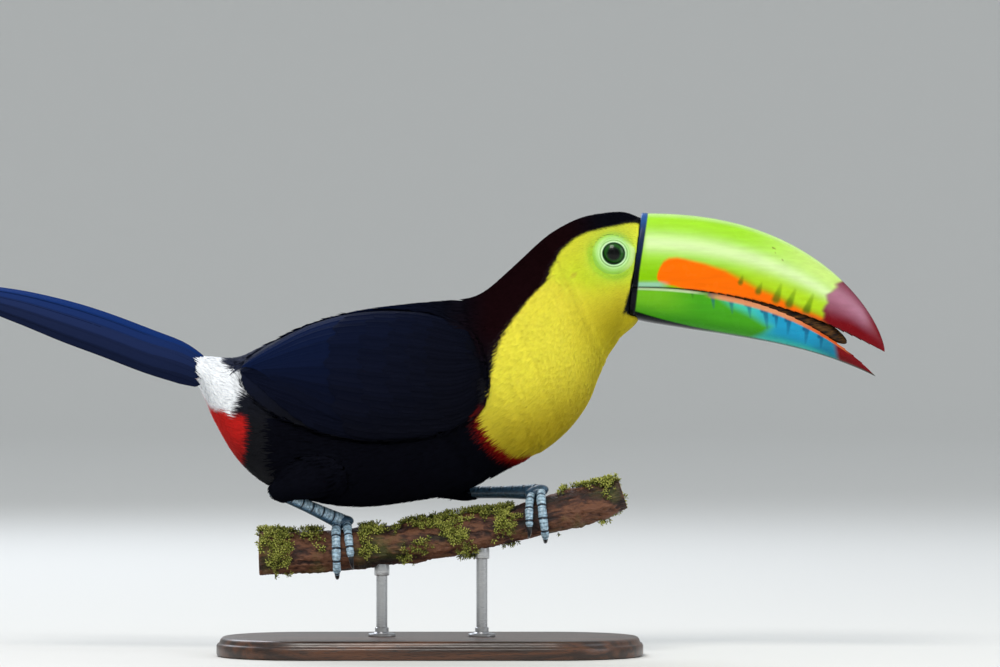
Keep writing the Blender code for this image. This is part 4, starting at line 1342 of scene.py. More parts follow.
def upper_colours(bill, points, rise):
    x, y, z = points.T
    tint = plain(bill.lime, len(x))
    paint(tint, "#86C400", 0.9 * ramp(0.46, 0.14, rise) * ramp(190, 150, x))
    paint(tint, "#B6DC22", 0.85 * ramp(150, 185, x) * ramp(0.7, 0.25, rise))
    # Painted highlights: paler on the upper front, a pale streak along the bill and a pale line
    # along the ridge.
    paint(tint, "#D6F08E", 0.75 * ramp(165, 215, x) * ramp(0.45, 0.8, rise))
    highlight_streak = np.exp(-(((rise - 0.60 + 0.0006 * (x - 115)) / 0.13) ** 2))
    paint(tint, "#DDF5B4", 0.9 * highlight_streak * ramp(112, 118, x))
    paint(tint, "#D0F2A8", 0.6 * ramp(0.92, 1.0, rise))
    # Orange, lightly blurred at its upper edge and running out in red towards the tip.
    top, low = (np.interp(x, *zip(*line)) for line in (ORANGE_TOP, ORANGE_LOW))
    soft = np.interp(x, [122, 140, 170, 210], [1.2, 1.2, 2.2, 1.8])
    orange = ramp(top + soft, top - soft, z) * ramp(low - 0.7, low + 0.7, z)
    orange = orange * ramp(121.2, 122.8, x)
    blend = ramp(top + 4.5, top, z) * ramp(150, 172, x) * ramp(low - 1, low, z)
    paint(tint, "#A9A80E", 0.8 * blend)
    paint(tint, bill.orange, orange)
    paint(tint, "#E0500A", 0.8 * orange * ramp(188, 212, x))
    paint(tint, "#9AD0B4", 0.9 * ramp(130, 122, x) * ramp(202.0, 200.4, z) * (rise >= 0))
    for start, end, width in UPPER_TICKS:
        paint(tint, "#3F6A0C", 0.85 * stroke(x, z, start, end, width * 1.6))
    # The tip: maroon, with a painted mauve highlight, over deep crimson.
    tip = from_line(x, z, TIP_LINE, [(260, 150), (260, 230)])
    tip = tip + 0.8 * np.sin(0.8 * z + 0.3 * y) + 0.2 * np.sin(2.2 * z + 1)
    maroon = ramp(-1.5, 1.5, tip)
    paint(tint, bill.maroon, maroon)
    mauve_highlight = np.exp(-(((rise - 0.62 - 0.004 * (x - 225)) / 0.26) ** 2)) * ramp(246, 232, x)
    paint(tint, "#B57C92", 0.85 * maroon * mauve_highlight)
    paint(tint, "#6E1A30", 0.7 * maroon * ramp(0.9, 1.0, rise))
    paint(tint, bill.crimson, maroon * ramp(0.40, 0.16, rise + 0.1 * ramp(230, 214, x)))
    paint(tint, bill.crimson, 0.9 * maroon * ramp(232, 242, x))
    for start, end, width in FLECKS:
        paint(tint, "#5A3A1C", 0.8 * stroke(x, z, start, end, width))
    edge = ramp(0.06, 0.0, rise) * (rise >= 0)
    paint(tint, "#D86A1C", 0.9 * edge * ramp(196, 204, x) * ramp(216, 208, x))
    base_band(x, z, tint)
    # Painted shade: the hollow mouth side is dark brown.
    paint(tint, "#1B1208", rise < 0)
    return tint


def lower_colours(bill, points, rise):
    x, _, z = points.T
    tint = plain(bill.green, len(x))
    paint(tint, "#7CC41E", 0.75 * ramp(148, 120, x) * ramp(0.9, 0.3, rise))
    paint(tint, "#2E8E16", 0.5 * ramp(0.6, 0.95, rise) * ramp(118, 130, x))
    blue = from_line(x, z, BLUE_LINE, [(250, 150), (250, 215), (146, 215)])
    blue = ramp(-3.0, 3.0, blue)
    paint(tint, "#46CDB4", blue)
    paint(tint, bill.blue, blue * ramp(166, 190, x) * ramp(1.0, 0.75, rise))
    paint(tint, "#2AB8B0", 0.75 * blue * ramp(0.62, 0.95, rise))
    paint(tint, "#1D6F88", 0.6 * blue * ramp(203, 215, x))
    for start, end, width in LOWER_TICKS:
        dark = "#23701E" if start[0] < 146 else "#0B5078"
        head = (start[0] - 1.2, start[1]), (start[0] + 1.6, start[1]), width
        mark = np.maximum(stroke(x, z, start, end, width), stroke(x, z, *head))
        paint(tint, dark, 0.85 * mark)
    tip = ramp(216.8, 220.4, x + 0.25 * (z - 165))
    paint(tint, "#7A0A10", tip)
    paint(tint, bill.crimson, tip * ramp(221, 228, x))
    edge = ramp(0.17, 0.10, rise) * (rise >= 0)
    paint(tint, "#DCF4C0", ramp(0.10, 0.05, rise) * (rise >= 0) * ramp(152, 138, x))
    paint(tint, "#E29668", edge * ramp(146, 158, x) * ramp(228, 218, x))
    paint(tint, "#D25A22", edge * ramp(188, 214, x) * ramp(228, 218, x))
    base_band(x, z, tint)
    keel_z = np.interp(x, *keel(np.linspace(0, 1, 80)).T)
    line = np.interp(x, [104, 112, 120, 130, 143, 160, 225], [4.8, 4.4, 3.5, 2.5, 1.5, 1.0, 0.8])
    paint(tint, "#0A0E14", ramp(line + 0.4, line - 0.4, z - keel_z) * ramp(170, 140, x))
    paint(tint, "#0B3A2A", 0.85 * ramp(line + 0.3, line - 0.5, z - keel_z) * ramp(140, 170, x))
    # Painted shade: the hollow mouth side is dark brown.
    paint(tint, "#1B1208", rise < 0)
    return tint


def tongue_material():
    """The mouth's lining on the tongue: a real part, whose dark brown is painted shade for the gap
    between the cutting edges. Damp, with paler ragged bristles along the sides.
    """
    made, add, shader = new_material("damp bristled tongue as mouth shade")
    where = add("TexCoord").outputs["Object"]
    lines = add("Mapping", where, {"Rotation": (0, 0.5, 0), "Scale": (160, 400, 900)})
    stops = [(0.42, "#160A04"), (0.72, "#6A4414")]
    tones = add("ValToRGB", add("TexNoise", lines, 1.0, 3.0), stops=stops)
    feed(shader, {"Base Color": tones, "Roughness": 0.6, "Specular IOR Level": 0.2})
    return made


def tongue_mesh():
    """A flat, tapering tongue between the cutting edges, a little inside the bill's sides."""
    x = np.concatenate([np.linspace(113, 214, 110), 214 + 11 * np.sin(np.linspace(0.1, 1.55, 14))])
    t = np.linspace(0, 1, 400)
    top, low = (np.interp(x, *line(t).T) for line in (upper_edge, lower_edge))
    share = (x - 109.0) / (UPPER_TIP[0] - 109.0)
    wide = LOWER_HALF_WIDTH * (1 - share**2) ** 0.62 - 1.1
    fade = np.sqrt(np.clip((225.2 - x) / 11.2, 0.002, 1))
    middle = top + (low - top) * 0.5
    half = (0.5 * (top - low) + 0.75) * fade
    points = []
    for spot, centre, high, side in zip(x, middle, half, wide * np.minimum(1, fade + 0.1)):
        turn = np.linspace(0, math.tau, 36, endpoint=False)
        box = np.stack([np.sign(np.cos(turn)) * np.abs(np.cos(turn)) ** 0.35,
                        np.sign(np.sin(turn)) * np.abs(np.sin(turn)) ** 0.5])
        points.append(np.stack([np.full(36, spot), box[0] * side, centre + box[1] * high], -1))
    return grid_mesh("tongue", np.array(points), wrap=True, caps=True)


def make_bill(bill):
    for name, edge, ridge, half, teeth, colours, slot in (
        ("horn_upper", upper_edge, culmen, UPPER_HALF_WIDTH, 0.55, upper_colours, "upper_bill"),
        ("horn_lower", lower_edge, keel, LOWER_HALF_WIDTH, 0.5, lower_colours, "lower_bill"),
    ):
        mesh, points, rise = mandible_mesh(name, edge, ridge, half, teeth)
        # The base's rim stands a little proud, like the edge of a sheath.
        x, _, z = points.T
        tint = colours(bill, points, rise)
        store(mesh, "tint", tint)
        band = ramp(3.4, 2.4, -bill_distance(x, z)) * (rise >= 0)
        out = read(mesh, "normal")
        move(mesh, points + out * (0.25 * band)[:, None])
        horn = add_object(name, mesh, horn_material(f"polished {name.replace('_', ' ')} sheath"))
        finish(horn, slot, name.replace("horn", "bill"))
    # The tongue fills the mouth's gap; its dark brown is painted shade there.
    finish(add_object("tongue", tongue_mesh(), tongue_material()), "lower_bill")


# ======== eyes
LID_RINGS = (  # distance from the eye's middle, height over the skin, and colour
    (5.2, -0.6, "#070D08"), (5.7, 0.25, "#070D08"), (6.0, 0.7, "#1A3A20"), (6.25, 0.95, "#93CC88"),
    (6.6, 1.1, "#D6F2C4"), (6.95, 0.95, "#BEE59E"), (7.3, 0.62, "#6FAA54"), (7.65, 0.68, "#A9DB80"),
    (8.0, 0.8, "#B9E694"), (8.6, 0.72, "#A2D672"), (9.4, 0.6, "#A0D764"), (10.1, 0.48, "#9FD655"),
    (10.7, 0.34, "#A4D44A"), (11.8, -0.1, "#ACD040"), (12.8, -0.8, "#B4D03A"),
)


def make_eyes():
    skin = bpy.data.objects["skin"]
    for name, side in (("left", 1), ("right", -1)):
        centre = Vector((EYE_AT[0], EYE_AT[1] * side, EYE_AT[2]))
        rings, turns = 40, 72
        slope = np.linspace(0, math.radians(75), rings)
        turn = np.linspace(0, math.tau, turns, endpoint=False)
        s, a = pairs(slope, turn)
        ball = np.stack(
            [
                centre.x + EYE_RADIUS * np.sin(s) * np.cos(a) * side,
                centre.y + EYE_RADIUS * np.cos(s) * side,
                centre.z + EYE_RADIUS * np.sin(s) * np.sin(a),
            ],
            -1,
        )
        mesh = grid_mesh(f"eyeball_{name}", ball[:, ::-1], wrap=True, caps=True)
        reach = (EYE_RADIUS * np.sin(s))[:, ::-1].ravel()
        store(mesh, "reach", reach)
        store(mesh, "turn", np.abs(a - np.pi)[:, ::-1].ravel())
        eye = add_object(f"eyeball_{name}", mesh, eye_material())
        finish(eye, "eye", f"eye_{name}")
        # Lids: rings laid on the skin round the eye.
        distance = np.array([ring[0] for ring in LID_RINGS])
        fine = np.linspace(distance[0], distance[-1], 46)
        height = np.interp(fine, distance, [ring[1] for ring in LID_RINGS])
        tints = np.array([colour(ring[2]) for ring in LID_RINGS])
        tints = np.stack([np.interp(fine, distance, tints[:, k]) for k in range(3)], -1)
        points, shades = [], []
        for far, high, ring in zip(fine, height, tints):
            for k in range(turns):
                angle = math.tau * k / turns * side
                turned = Vector((far * 2.2, math.cos(angle) * 3, math.sin(angle) * 3))
                crease = 0.10 * noise.noise(turned)
                ray = Vector((math.cos(angle), 0, math.sin(angle) * 0.98))
                spot, rim = centre + ray * far, centre + ray * max(far, 8.7)
                hit, where, _, _ = skin.ray_cast(
                    Vector((rim.x, 60 * side, rim.z)) * MM, Vector((0, -side, 0))
                )
                base = abs(where.y) / MM if hit else abs(centre.y)
                ball_y = abs(centre.y) + math.sqrt(max(0, EYE_RADIUS**2 - far**2))
                lid = float(ramp(8.8, 6.6, far))
                y = base + max(0.0, lid * (ball_y - base)) + high + crease * (far > 6.4)
                points.append((spot.x, y * side, spot.z))
                # Painted shadow: the outer rings turn darker green on the lower rear side.
                low = ramp(-0.1, 0.9, -0.5 * ray.x - ray.z) * ramp(9.2, 10.6, far)
                ahead = ramp(0.2, 1.0, ray.x) * ramp(8.2, 9.8, far)
                tint = ring + (np.array(colour("#86C634")) - ring) * 0.6 * low
                shades.append(tint + (np.array(colour("#D2EE96")) - tint) * 0.7 * ahead)
        points = np.array(points).reshape(len(fine), turns, 3)
        mesh = grid_mesh(f"eyelids_{name}", points, wrap=True)
        store(mesh, "tint", np.array(shades))
        lids = add_object(f"eyelids_{name}", mesh, lid_material())
        wall = lids.modifiers.new("Wall", "SOLIDIFY")
        wall.thickness, wall.offset = 0.5 * MM, -1.0
        mesh = evaluated_mesh(lids, f"eyelids_{name}")
        finish(add_object(f"eyelids_{name}", mesh), "eye")


# ======== feet
def foot_centre(leg):
    sideways = math.asin(leg.foot_y / (perch_radius(leg.foot_x) + SOLE[2]))
    return round_perch(leg.foot_x, sideways, FOOT_GAP + SOLE[2])


def toe_path(leg, toe, first, last, lift_first, lift_last, count):
    points = []
    for i in range(count + 1):
        share = i / count
        angle = first + (last - first) * share
        out = toe.inner * leg.side * -1 * (TOE_OFFSET + TOE_SPREAD * angle / 120)
        x = leg.foot_x + out - leg.toe_lean * angle / 120
        lift = lift_first + (lift_last - lift_first) * share**2
        points.append(round_perch(x, math.radians(angle) * toe.wrap, lift))
    return points


def limb_tree():
    """Round limbs along guide lines: each is a swept tube, with raised scutes on its outer side
    that overlap towards the tip."""
    tree, add, given, done = new_tree("Scaly limb", {
        "Guides": "Geometry", "Scute Length": "Float", "Scute Height": "Float",
        "Joint Length": "Float", "Finish": "Material",
    })
    soft = {"interpolation_type": "SMOOTHSTEP"}
    girth = add("InputNamedAttribute FLOAT", "girth")
    curve = add("SetCurveRadius", add("MeshToCurve", given["Guides"]), {"Radius": girth})
    curve = add("ResampleCurve", curve, {"Length": 0.00022}, mode="LENGTH")
    run = add("SplineParameter").outputs["Length"]
    curve = add("StoreNamedAttribute", curve, {"Name": "run", "Value": run})
    ring = add("CurvePrimitiveCircle", {"Resolution": 18, "Radius": 1.0}).outputs["Curve"]
    tube = add("CurveToMesh", curve, ring, {"Scale": add("InputRadius"), "Fill Caps": True})
    along = add("InputNamedAttribute FLOAT", "run")
    normal = add("InputNormal")
    faces = add("VectorMath DOT_PRODUCT", normal, add("InputNamedAttribute FLOAT_VECTOR", "out"))
    outer = add("MapRange", faces.outputs["Value"], -0.35, 0.25, **soft)
    # Each scute swells early and drops late, and is pinched at the toe's joints.
    phase = add("Math FRACT", add("Math DIVIDE", along, given["Scute Length"]))
    early = add("MapRange", phase, 0.0, 0.12, **soft)
    late = add("MapRange", phase, 0.9, 1.0, 1.0, 0.0, **soft)
    swell = add("Math MULTIPLY_ADD", add("Math MULTIPLY", early, late), 0.45, 0.55)
    joint = add("Math PINGPONG", along, given["Joint Length"])
    swell = add("Math MULTIPLY", swell, add("MapRange", joint, 0.0001, 0.0007, **soft))
    # The stored tone, low in creases and joints and high on crowns, becomes painted shade and
    # highlight.
    crest = add("Math MULTIPLY", swell, outer)
    tone = add("Math MULTIPLY_ADD", add("Math SUBTRACT", 1.0, outer), 0.45, crest)
    marked = add("StoreNamedAttribute", tube, {"Name": "crest", "Value": tone})
    high = add("Math MULTIPLY", crest, given["Scute Height"])
    raised = add("SetPosition", marked, {"Offset": add("VectorMath SCALE", normal, high)})
    feed(done, add("SetMaterial", raised, {"Material": given["Finish"]}))
    return tree


def guide_mesh(lines):
    """Guide lines as one mesh. Each line holds (point, girth, outward) in millimetres."""
    points, edges, girth, out = [], [], [], []
    for line in lines:
        for i, (point, wide, outward) in enumerate(line):
            if i:
                edges.append((len(points) - 1, len(points)))
            points.append(tuple(Vector(point) * MM))
            girth.append(wide * MM)
            out.append(tuple(Vector(outward).normalized()))
    mesh = bpy.data.meshes.new("guides")
    mesh.from_pydata(points, edges, [])
    store(mesh, "girth", np.array(girth))
    store(mesh, "out", np.array(out))
    return mesh


def perch_out(point):
    """The direction away from the perch's middle at a point."""
    middle = perch_centre(point.x)
    out = Vector(point) - middle
    up = perch_up(point.x)
    return (up * out.dot(up) + Vector((0, out.y, 0))).normalized()


def sole_point(leg, foot, ball):
    """A point of the sole under the toes' roots, level with the perch."""
    up = perch_up(leg.foot_x)
    tilt = math.atan2(up.x, up.z)
    spot = Vector((ball.x * 6.6, ball.y * 5.4, ball.z * 3.6 + 0.4))
    spot *= 1 + 0.05 * noise.noise(ball * 5)
    x = spot.x * math.cos(tilt) + spot.z * math.sin(tilt)
    return foot + Vector((x, spot.y, -spot.x * math.sin(tilt) + spot.z * math.cos(tilt)))


def make_feet():
    tree = limb_tree()
    skin, horn = leg_material(), claw_material()
    scutes = {"Scute Length": 1.9 * MM, "Scute Height": 0.42 * MM, "Joint Length": 3.4 * MM}
    smooth = {"Scute Length": 50 * MM, "Scute Height": 0.0, "Joint Length": 50 * MM}
    for name, leg in LEGS.items():
        lines, claws = [], []
        ankle, foot = Vector(leg.ankle), foot_centre(leg)
        front = Vector((1.0, 0, 0.4))
        knob = (ankle - foot).normalized() * 2.0
        shin = [
            (ankle + knob * far, wide, front)
            for far, wide in ((1.6, 0.4), (1.5, 1.3), (1.3, 2.2), (0.9, 3.0), (0.45, 3.3))
        ]
        for i in range(9):
            wide = float(np.interp(i / 8, np.linspace(0, 1, 5), SHANK_RADII))
            shin.append((ankle.lerp(foot, i / 8), wide - 0.25, front))
        lines.append(shin)
        for toe in TOES.values():
            clear = FOOT_GAP + toe.radius
            path = toe_path(leg, toe, TOE_START - 8, toe.reach, clear, clear + TOE_LIFT, 28)
            line = []
            for i, point in enumerate(path):
                share = i / 28
                knuckle = 0.07 * math.cos(math.tau * 3 * share) + 0.05 * math.sin(math.pi * share)
                wide = (toe.radius - 0.22) * (1 - 0.16 * share) * (1 + knuckle)
                wide *= min(1.0, 0.55 + 8 * (1 - share)) * min(1.0, 0.6 + 5 * share)
                line.append((point, wide, perch_out(point)))
            lines.append(line)
            start = toe.reach - 1.5
            end = toe.reach + math.degrees((toe.claw + 0.6) / (PERCH_RADIUS + clear))
            path = toe_path(leg, toe, start, end, clear + TOE_LIFT, FOOT_GAP + 0.7, 14)
            claws.append(
                [
                    (p, CLAW_RADIUS * (1 - 0.93 * (i / 14) ** 1.25), perch_out(p))
                    for i, p in enumerate(path)
                ]
            )
        limbs = grown(f"foot_{name}", guide_mesh(lines), tree, **scutes, Finish=skin)
        sole = ball_mesh("sole", partial(sole_point, leg, foot))
        sole.shade_smooth()
        store(sole, "crest", np.full(len(sole.vertices), 0.5))
        sole.materials.append(skin)
        mesh = joined(f"foot_{name}", [limbs, sole])
        mesh.materials.append(skin)
        mesh.shade_smooth()
        foot_piece = add_object(f"foot_{name}", mesh)
        toes = [f"toe_{each}_{name}" for each in TOES]
        finish(foot_piece, "leg_skin", f"tarsus_{name}", *toes)
        mesh = grown(f"claws_{name}", guide_mesh(claws), tree, **smooth, Finish=horn)
        mesh.shade_smooth()
        claws = [f"claw_{each}_{name}" for each in TOES]
        finish(add_object(f"claws_{name}", mesh), "claw_horn", *claws)


# ======== perch
def bark_material(perch):
    """Wet dead bark. Dark plates, paler on their crests and black down in the cracks, with a film
    of algae.
    """
    made, add, shader = new_material("weathered mossy bark")
    relief = add("Attribute", attribute_name="relief").outputs["Fac"]
    where = add("TexCoord").outputs["Object"]
    grain = add("TexNoise", add("Mapping", where, {"Scale": (130.0, 460.0, 460.0)}), 1.0, 8.0, 0.65)
    stops = [(0.48, "#060302"), (0.68, "#1D0D07"), (0.86, "#3C1C10"), (1.0, "#6E442C")]
    # The higher the bark stands, the paler it is.
    tones = add("ValToRGB", add("Math MULTIPLY_ADD", grain, 0.7, relief), stops=stops)
    film = add("MapRange", add("TexNoise", where, 55.0, 5.0), 0.54, 0.70, 0.0, 0.5)
    mixed = add("Mix RGBA", film, tones, (*colour(perch.moss), 1))
    bump = add("Bump", {"Height": grain, "Strength": 1.0, "Distance": 0.0018})
    feed(shader, {"Base Color": mixed, "Normal": bump, "Roughness": 0.55})
    return made


def end_grain_material():
    """Sawn branch ends. Pale heartwood in growth rings a millimetre apart."""
    made, add, shader = new_material("sawn branch end grain")
    reach = add("Attribute", attribute_name="reach").outputs["Fac"]
    wander = add("TexNoise", add("TexCoord").outputs["Object"], 220.0)
    place = add("Math MULTIPLY_ADD", wander, 0.9, reach)
    rings = add("Math SINE", add("Math MULTIPLY", place, math.tau))
    stops = [(0.0, "#7D5A36"), (1.0, "#C39F6E")]
    tones = add("ValToRGB", add("MapRange", rings, -1.0), stops=stops)
    feed(shader, {"Base Color": tones, "Roughness": 0.7})
    return made


def moss_material():
    """Feather moss. Soft yellow-green shoots, darker and browner at the base of each."""
    made, add, shader = new_material("living feather moss")
    vane = add("Attribute", attribute_name="vane").outputs["Vector"]
    tone = add("Attribute", attribute_name="tone").outputs["Fac"]
    high = add("SeparateXYZ", vane).outputs["Z"]
    stops = [(0.0, "#14140A"), (0.45, "#454A10"), (0.85, "#7F8726"), (1.0, "#B3B650")]
    tones = add("ValToRGB", add("Math MULTIPLY_ADD", tone, 0.5, high), stops=stops)
    feed(shader, {"Base Color": tones, "Roughness": 0.75, "Subsurface Weight": 0.05})
    return made


def bark_mesh():
    """The branch with its bark: long plates and cracks, quieter under the toes."""
    columns, rows = ((120, 380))
    length = PERCH_ENDS[1] - PERCH_ENDS[0]
    points, relief = [], []
    for i in range(rows + 1):
        x = PERCH_ENDS[0] + length * i / rows
        calm = 1.0
        for leg in LEGS.values():
            calm = min(calm, 0.2 + abs(x - leg.foot_x) / 22)
        for k in range(columns):
            angle = math.tau * k / columns
            spot = Vector((x * 0.045, math.cos(angle) * 1.5, math.sin(angle) * 1.5))
            plates = noise.ridged_multi_fractal(spot * 1.3, 0.9, 2.1, 4, 1.0, 2.0)
            lumps = noise.fractal(Vector((x * 0.03, math.cos(angle), math.sin(angle))), 1.0, 2.0, 3)
            spot = Vector((x * 0.35, math.cos(angle) * 7, math.sin(angle) * 7))
            fine = noise.fractal(spot, 1.0, 2.0, 3)
            high = 0.85 * (1.2 - plates) + 1.5 * lumps + 0.6 * fine
            lift = max(-2.4, min(1.8, high * calm))
            ends = min(1.0, min(i, rows - i) / 3)
            points.append(round_perch(x, angle, lift - 0.25 - 0.5 * (1 - ends)))
            relief.append(0.52 + 0.24 * high)
    points = np.array(points).reshape(rows + 1, columns, 3)[:, ::-1]
    mesh = grid_mesh("bark", points, wrap=True, caps=False)
    store(mesh, "relief", np.array(relief).reshape(rows + 1, columns)[:, ::-1].ravel())
    store(mesh, "reach", np.zeros(len(relief)))
    ends = []
    for row, x in ((0, PERCH_ENDS[0]), (rows, PERCH_ENDS[1])):
        centre = np.array(perch_centre(x))
        rim = points[row][::-1]
        rings = [centre + (rim - centre) * share for share in (1.0, 0.97, 0.75, 0.5, 0.25, 0.02)]
        out = -0.12 if row == 0 else 0.12
        for k, ring in enumerate(rings):
            ring[:, 0] += out * (0, 1, 1, 1, 1, 1)[k]
        face = np.array(rings if row else rings[::-1])
        cap = grid_mesh("end", face[:, ::-1] if row == 0 else face, wrap=True)
        with editing(cap) as bm:
            bmesh.ops.holes_fill(bm, edges=[e for e in bm.edges if e.is_boundary], sides=0)
            for f in [f for f in bm.faces if len(f.verts) > 4 and f.calc_area() > 20 * MM * MM]:
                bm.faces.remove(f)
        far = np.linalg.norm(read(cap) - centre, axis=1)
        store(cap, "reach", far)
        store(cap, "relief", np.full(len(far), 0.5))
        cap.polygons.foreach_set("material_index", np.ones(len(cap.polygons), np.int32))
        ends.append(cap)
    return mesh, ends


def moss_tree():
    """Moss: many small shoots, scattered where the bark holds it, leaning every way."""
    tree, add, given, done = new_tree("Moss", {
        "Bark": "Geometry", "Shoot": "Object", "Spacing": "Float",
        "Height": "Float", "Seed": "Int", "Finish": "Material",
    })
    seed, spacing = {"Seed": given["Seed"]}, given["Spacing"]
    cover = add("InputNamedAttribute FLOAT", "cover")
    thick = add("Math DIVIDE", 3.0, add("Math POWER", spacing, 2.0))
    limits = {"Distance Min": spacing, "Density Max": thick, "Density Factor": cover, **seed}
    roots = add("DistributePointsOnFaces", given["Bark"], limits, distribute_method="POISSON")
    lean = add("RandomValue FLOAT_VECTOR", (-0.6, -0.6, -0.5), (0.6, 0.6, 0.8), seed)
    up = add("VectorMath ADD", roots.outputs["Normal"], lean)
    spin, size, tone = (
        add("RandomValue", low, high, {"Seed": number})
        for low, high, number in ((0.0, math.tau, 3), (0.45, 1.25, 5), (0.0, 1.0, 9))
    )
    aim = add("AlignRotationToVector", {"Vector": up}, axis="Z")
    turned = add("AxisAngleToRotation", (0, 0, 1), spin)
    aim = add("RotateRotation", aim, turned, rotation_space="LOCAL")
    tall = add("Math MULTIPLY", size, given["Height"])
    toned = add("StoreNamedAttribute", roots, {"Name": "tone", "Value": tone})
    blank = add("ObjectInfo", given["Shoot"]).outputs["Geometry"]
    place = {"Name": "vane", "Value": add("InputPosition")}
    marked = add("StoreNamedAttribute FLOAT_VECTOR", blank, place)
    stance = {"Instance": marked, "Rotation": aim, "Scale": tall}
    real = add("RealizeInstances", add("InstanceOnPoints", toned, stance))
    feed(done, add("SetMaterial", real, {"Material": given["Finish"]}))
    return tree


def moss_shoot():
    """One shoot, a unit tall: a stem of narrow leaves that spread and bow outwards."""
    bm = bmesh.new()
    for k in range(5):
        turn = 2.4 * k
        base, reach = 0.1 * k, 0.55 - 0.05 * k
        heading = Vector((math.cos(turn), math.sin(turn), 0))
        side = Vector((-math.sin(turn), math.cos(turn), 0)) * 0.085
        mid = heading * reach * 0.5 + Vector((0, 0, base + 0.42))
        tip = heading * reach + Vector((0, 0, base + 0.6 - 0.04 * k))
        a = bm.verts.new(Vector((0, 0, base * 0.6)))
        b, c = bm.verts.new(mid + side), bm.verts.new(mid - side)
        d = bm.verts.new(tip)
        e = bm.verts.new(mid + Vector((0, 0, 0.07)) + heading * -0.03)
        for corners in ((a, b, e), (b, d, e), (d, c, e), (c, a, e), (a, c, b), (b, c, d)):
            bm.faces.new(corners)
    bmesh.ops.recalc_face_normals(bm, faces=bm.faces)
    mesh = bpy.data.meshes.new("shoot")
    bm.to_mesh(mesh)
    bm.free()
    mesh.shade_smooth()
    return hidden("shoot", mesh)


def make_perch(perch):
    mesh, ends = bark_mesh()
    points, normal = read(mesh), read(mesh, "normal")
    cover = []
    for spot, out in zip(points, normal):
        near = min(abs(spot[0] - leg.foot_x + 1.5) for leg in LEGS.values())
        patchy = noise.fractal(Vector(spot) * 0.07, 0.9, 2.0, 4)
        level = patchy + 0.35 * out[2] + perch.moss_amount - 0.33
        cover.append(max(0.0, min(1.0, level * 2.2)) * float(ramp(8.0, 15.0, near)))
    store(mesh, "cover", np.array(cover))
    shoot = moss_shoot()
    values = {
        "Shoot": shoot, "Spacing": 0.82 * MM, "Height": 3.9 * MM,
        "Seed": 11, "Finish": moss_material(),
    }
    moss = add_object("moss", grown("moss", mesh.copy(), moss_tree(), **values))
    bpy.data.objects.remove(shoot)
    looks = bark_material(perch), end_grain_material()
    bark = add_object("bark", joined("bark", [mesh, *ends]), *looks)
    bark.data.shade_smooth()
    finish(bark, "branch", "perch_branch")
    finish(moss, "branch")


# ======== stand
def wood_material(stand):
    """Dark stained hardwood, oiled. Long grain with pores, and a satin, slightly uneven film."""
    made, add, shader = new_material("dark stained oiled walnut")
    where = add("TexCoord").outputs["Object"]
    grain = add("Mapping", where, {"Location": (0, 0.13, 0.02), "Scale": (5.0, 60.0, 60.0)})
    bands = add("Math SINE", add("Math MULTIPLY", add("TexNoise", grain, 1.0, 4.0), 34.0))
    pores = add("TexNoise", add("Mapping", where, {"Scale": (160.0, 2600.0, 2600.0)}), 1.0, 2.0)
    pit = add("MapRange", pores, 0.32, 0.46)
    share = add("Math MULTIPLY", add("MapRange", bands, -1.0, 1.0, 0.12, 0.9), pit)
    feed(shader, {
        "Base Color": add("ValToRGB", share, stops=[(0.0, "#1C0F08"), (1.0, stand.wood)]),
        "Normal": add("Bump", {"Height": pit, "Strength": 0.25, "Distance": 0.0002}),
        "Roughness": 0.36, "Coat Weight": 0.25, "Coat Roughness": 0.2,
    })
    return made


def steel_material(stand):
    """Brushed stainless steel. Fine turning lines round the rod blur its reflections."""
    made, add, shader = new_material("brushed stainless steel")
    where = add("TexCoord").outputs["Object"]
    lines = add("TexNoise", add("Mapping", where, {"Scale": (90.0, 90.0, 5200.0)}), 1.0, 2.0)
    rough = add("MapRange", lines, 0.3, 0.7, 0.24, 0.42)
    feed(shader, {"Roughness": rough, "Base Color": (*colour(stand.steel), 1), "Metallic": 1.0})
    return made


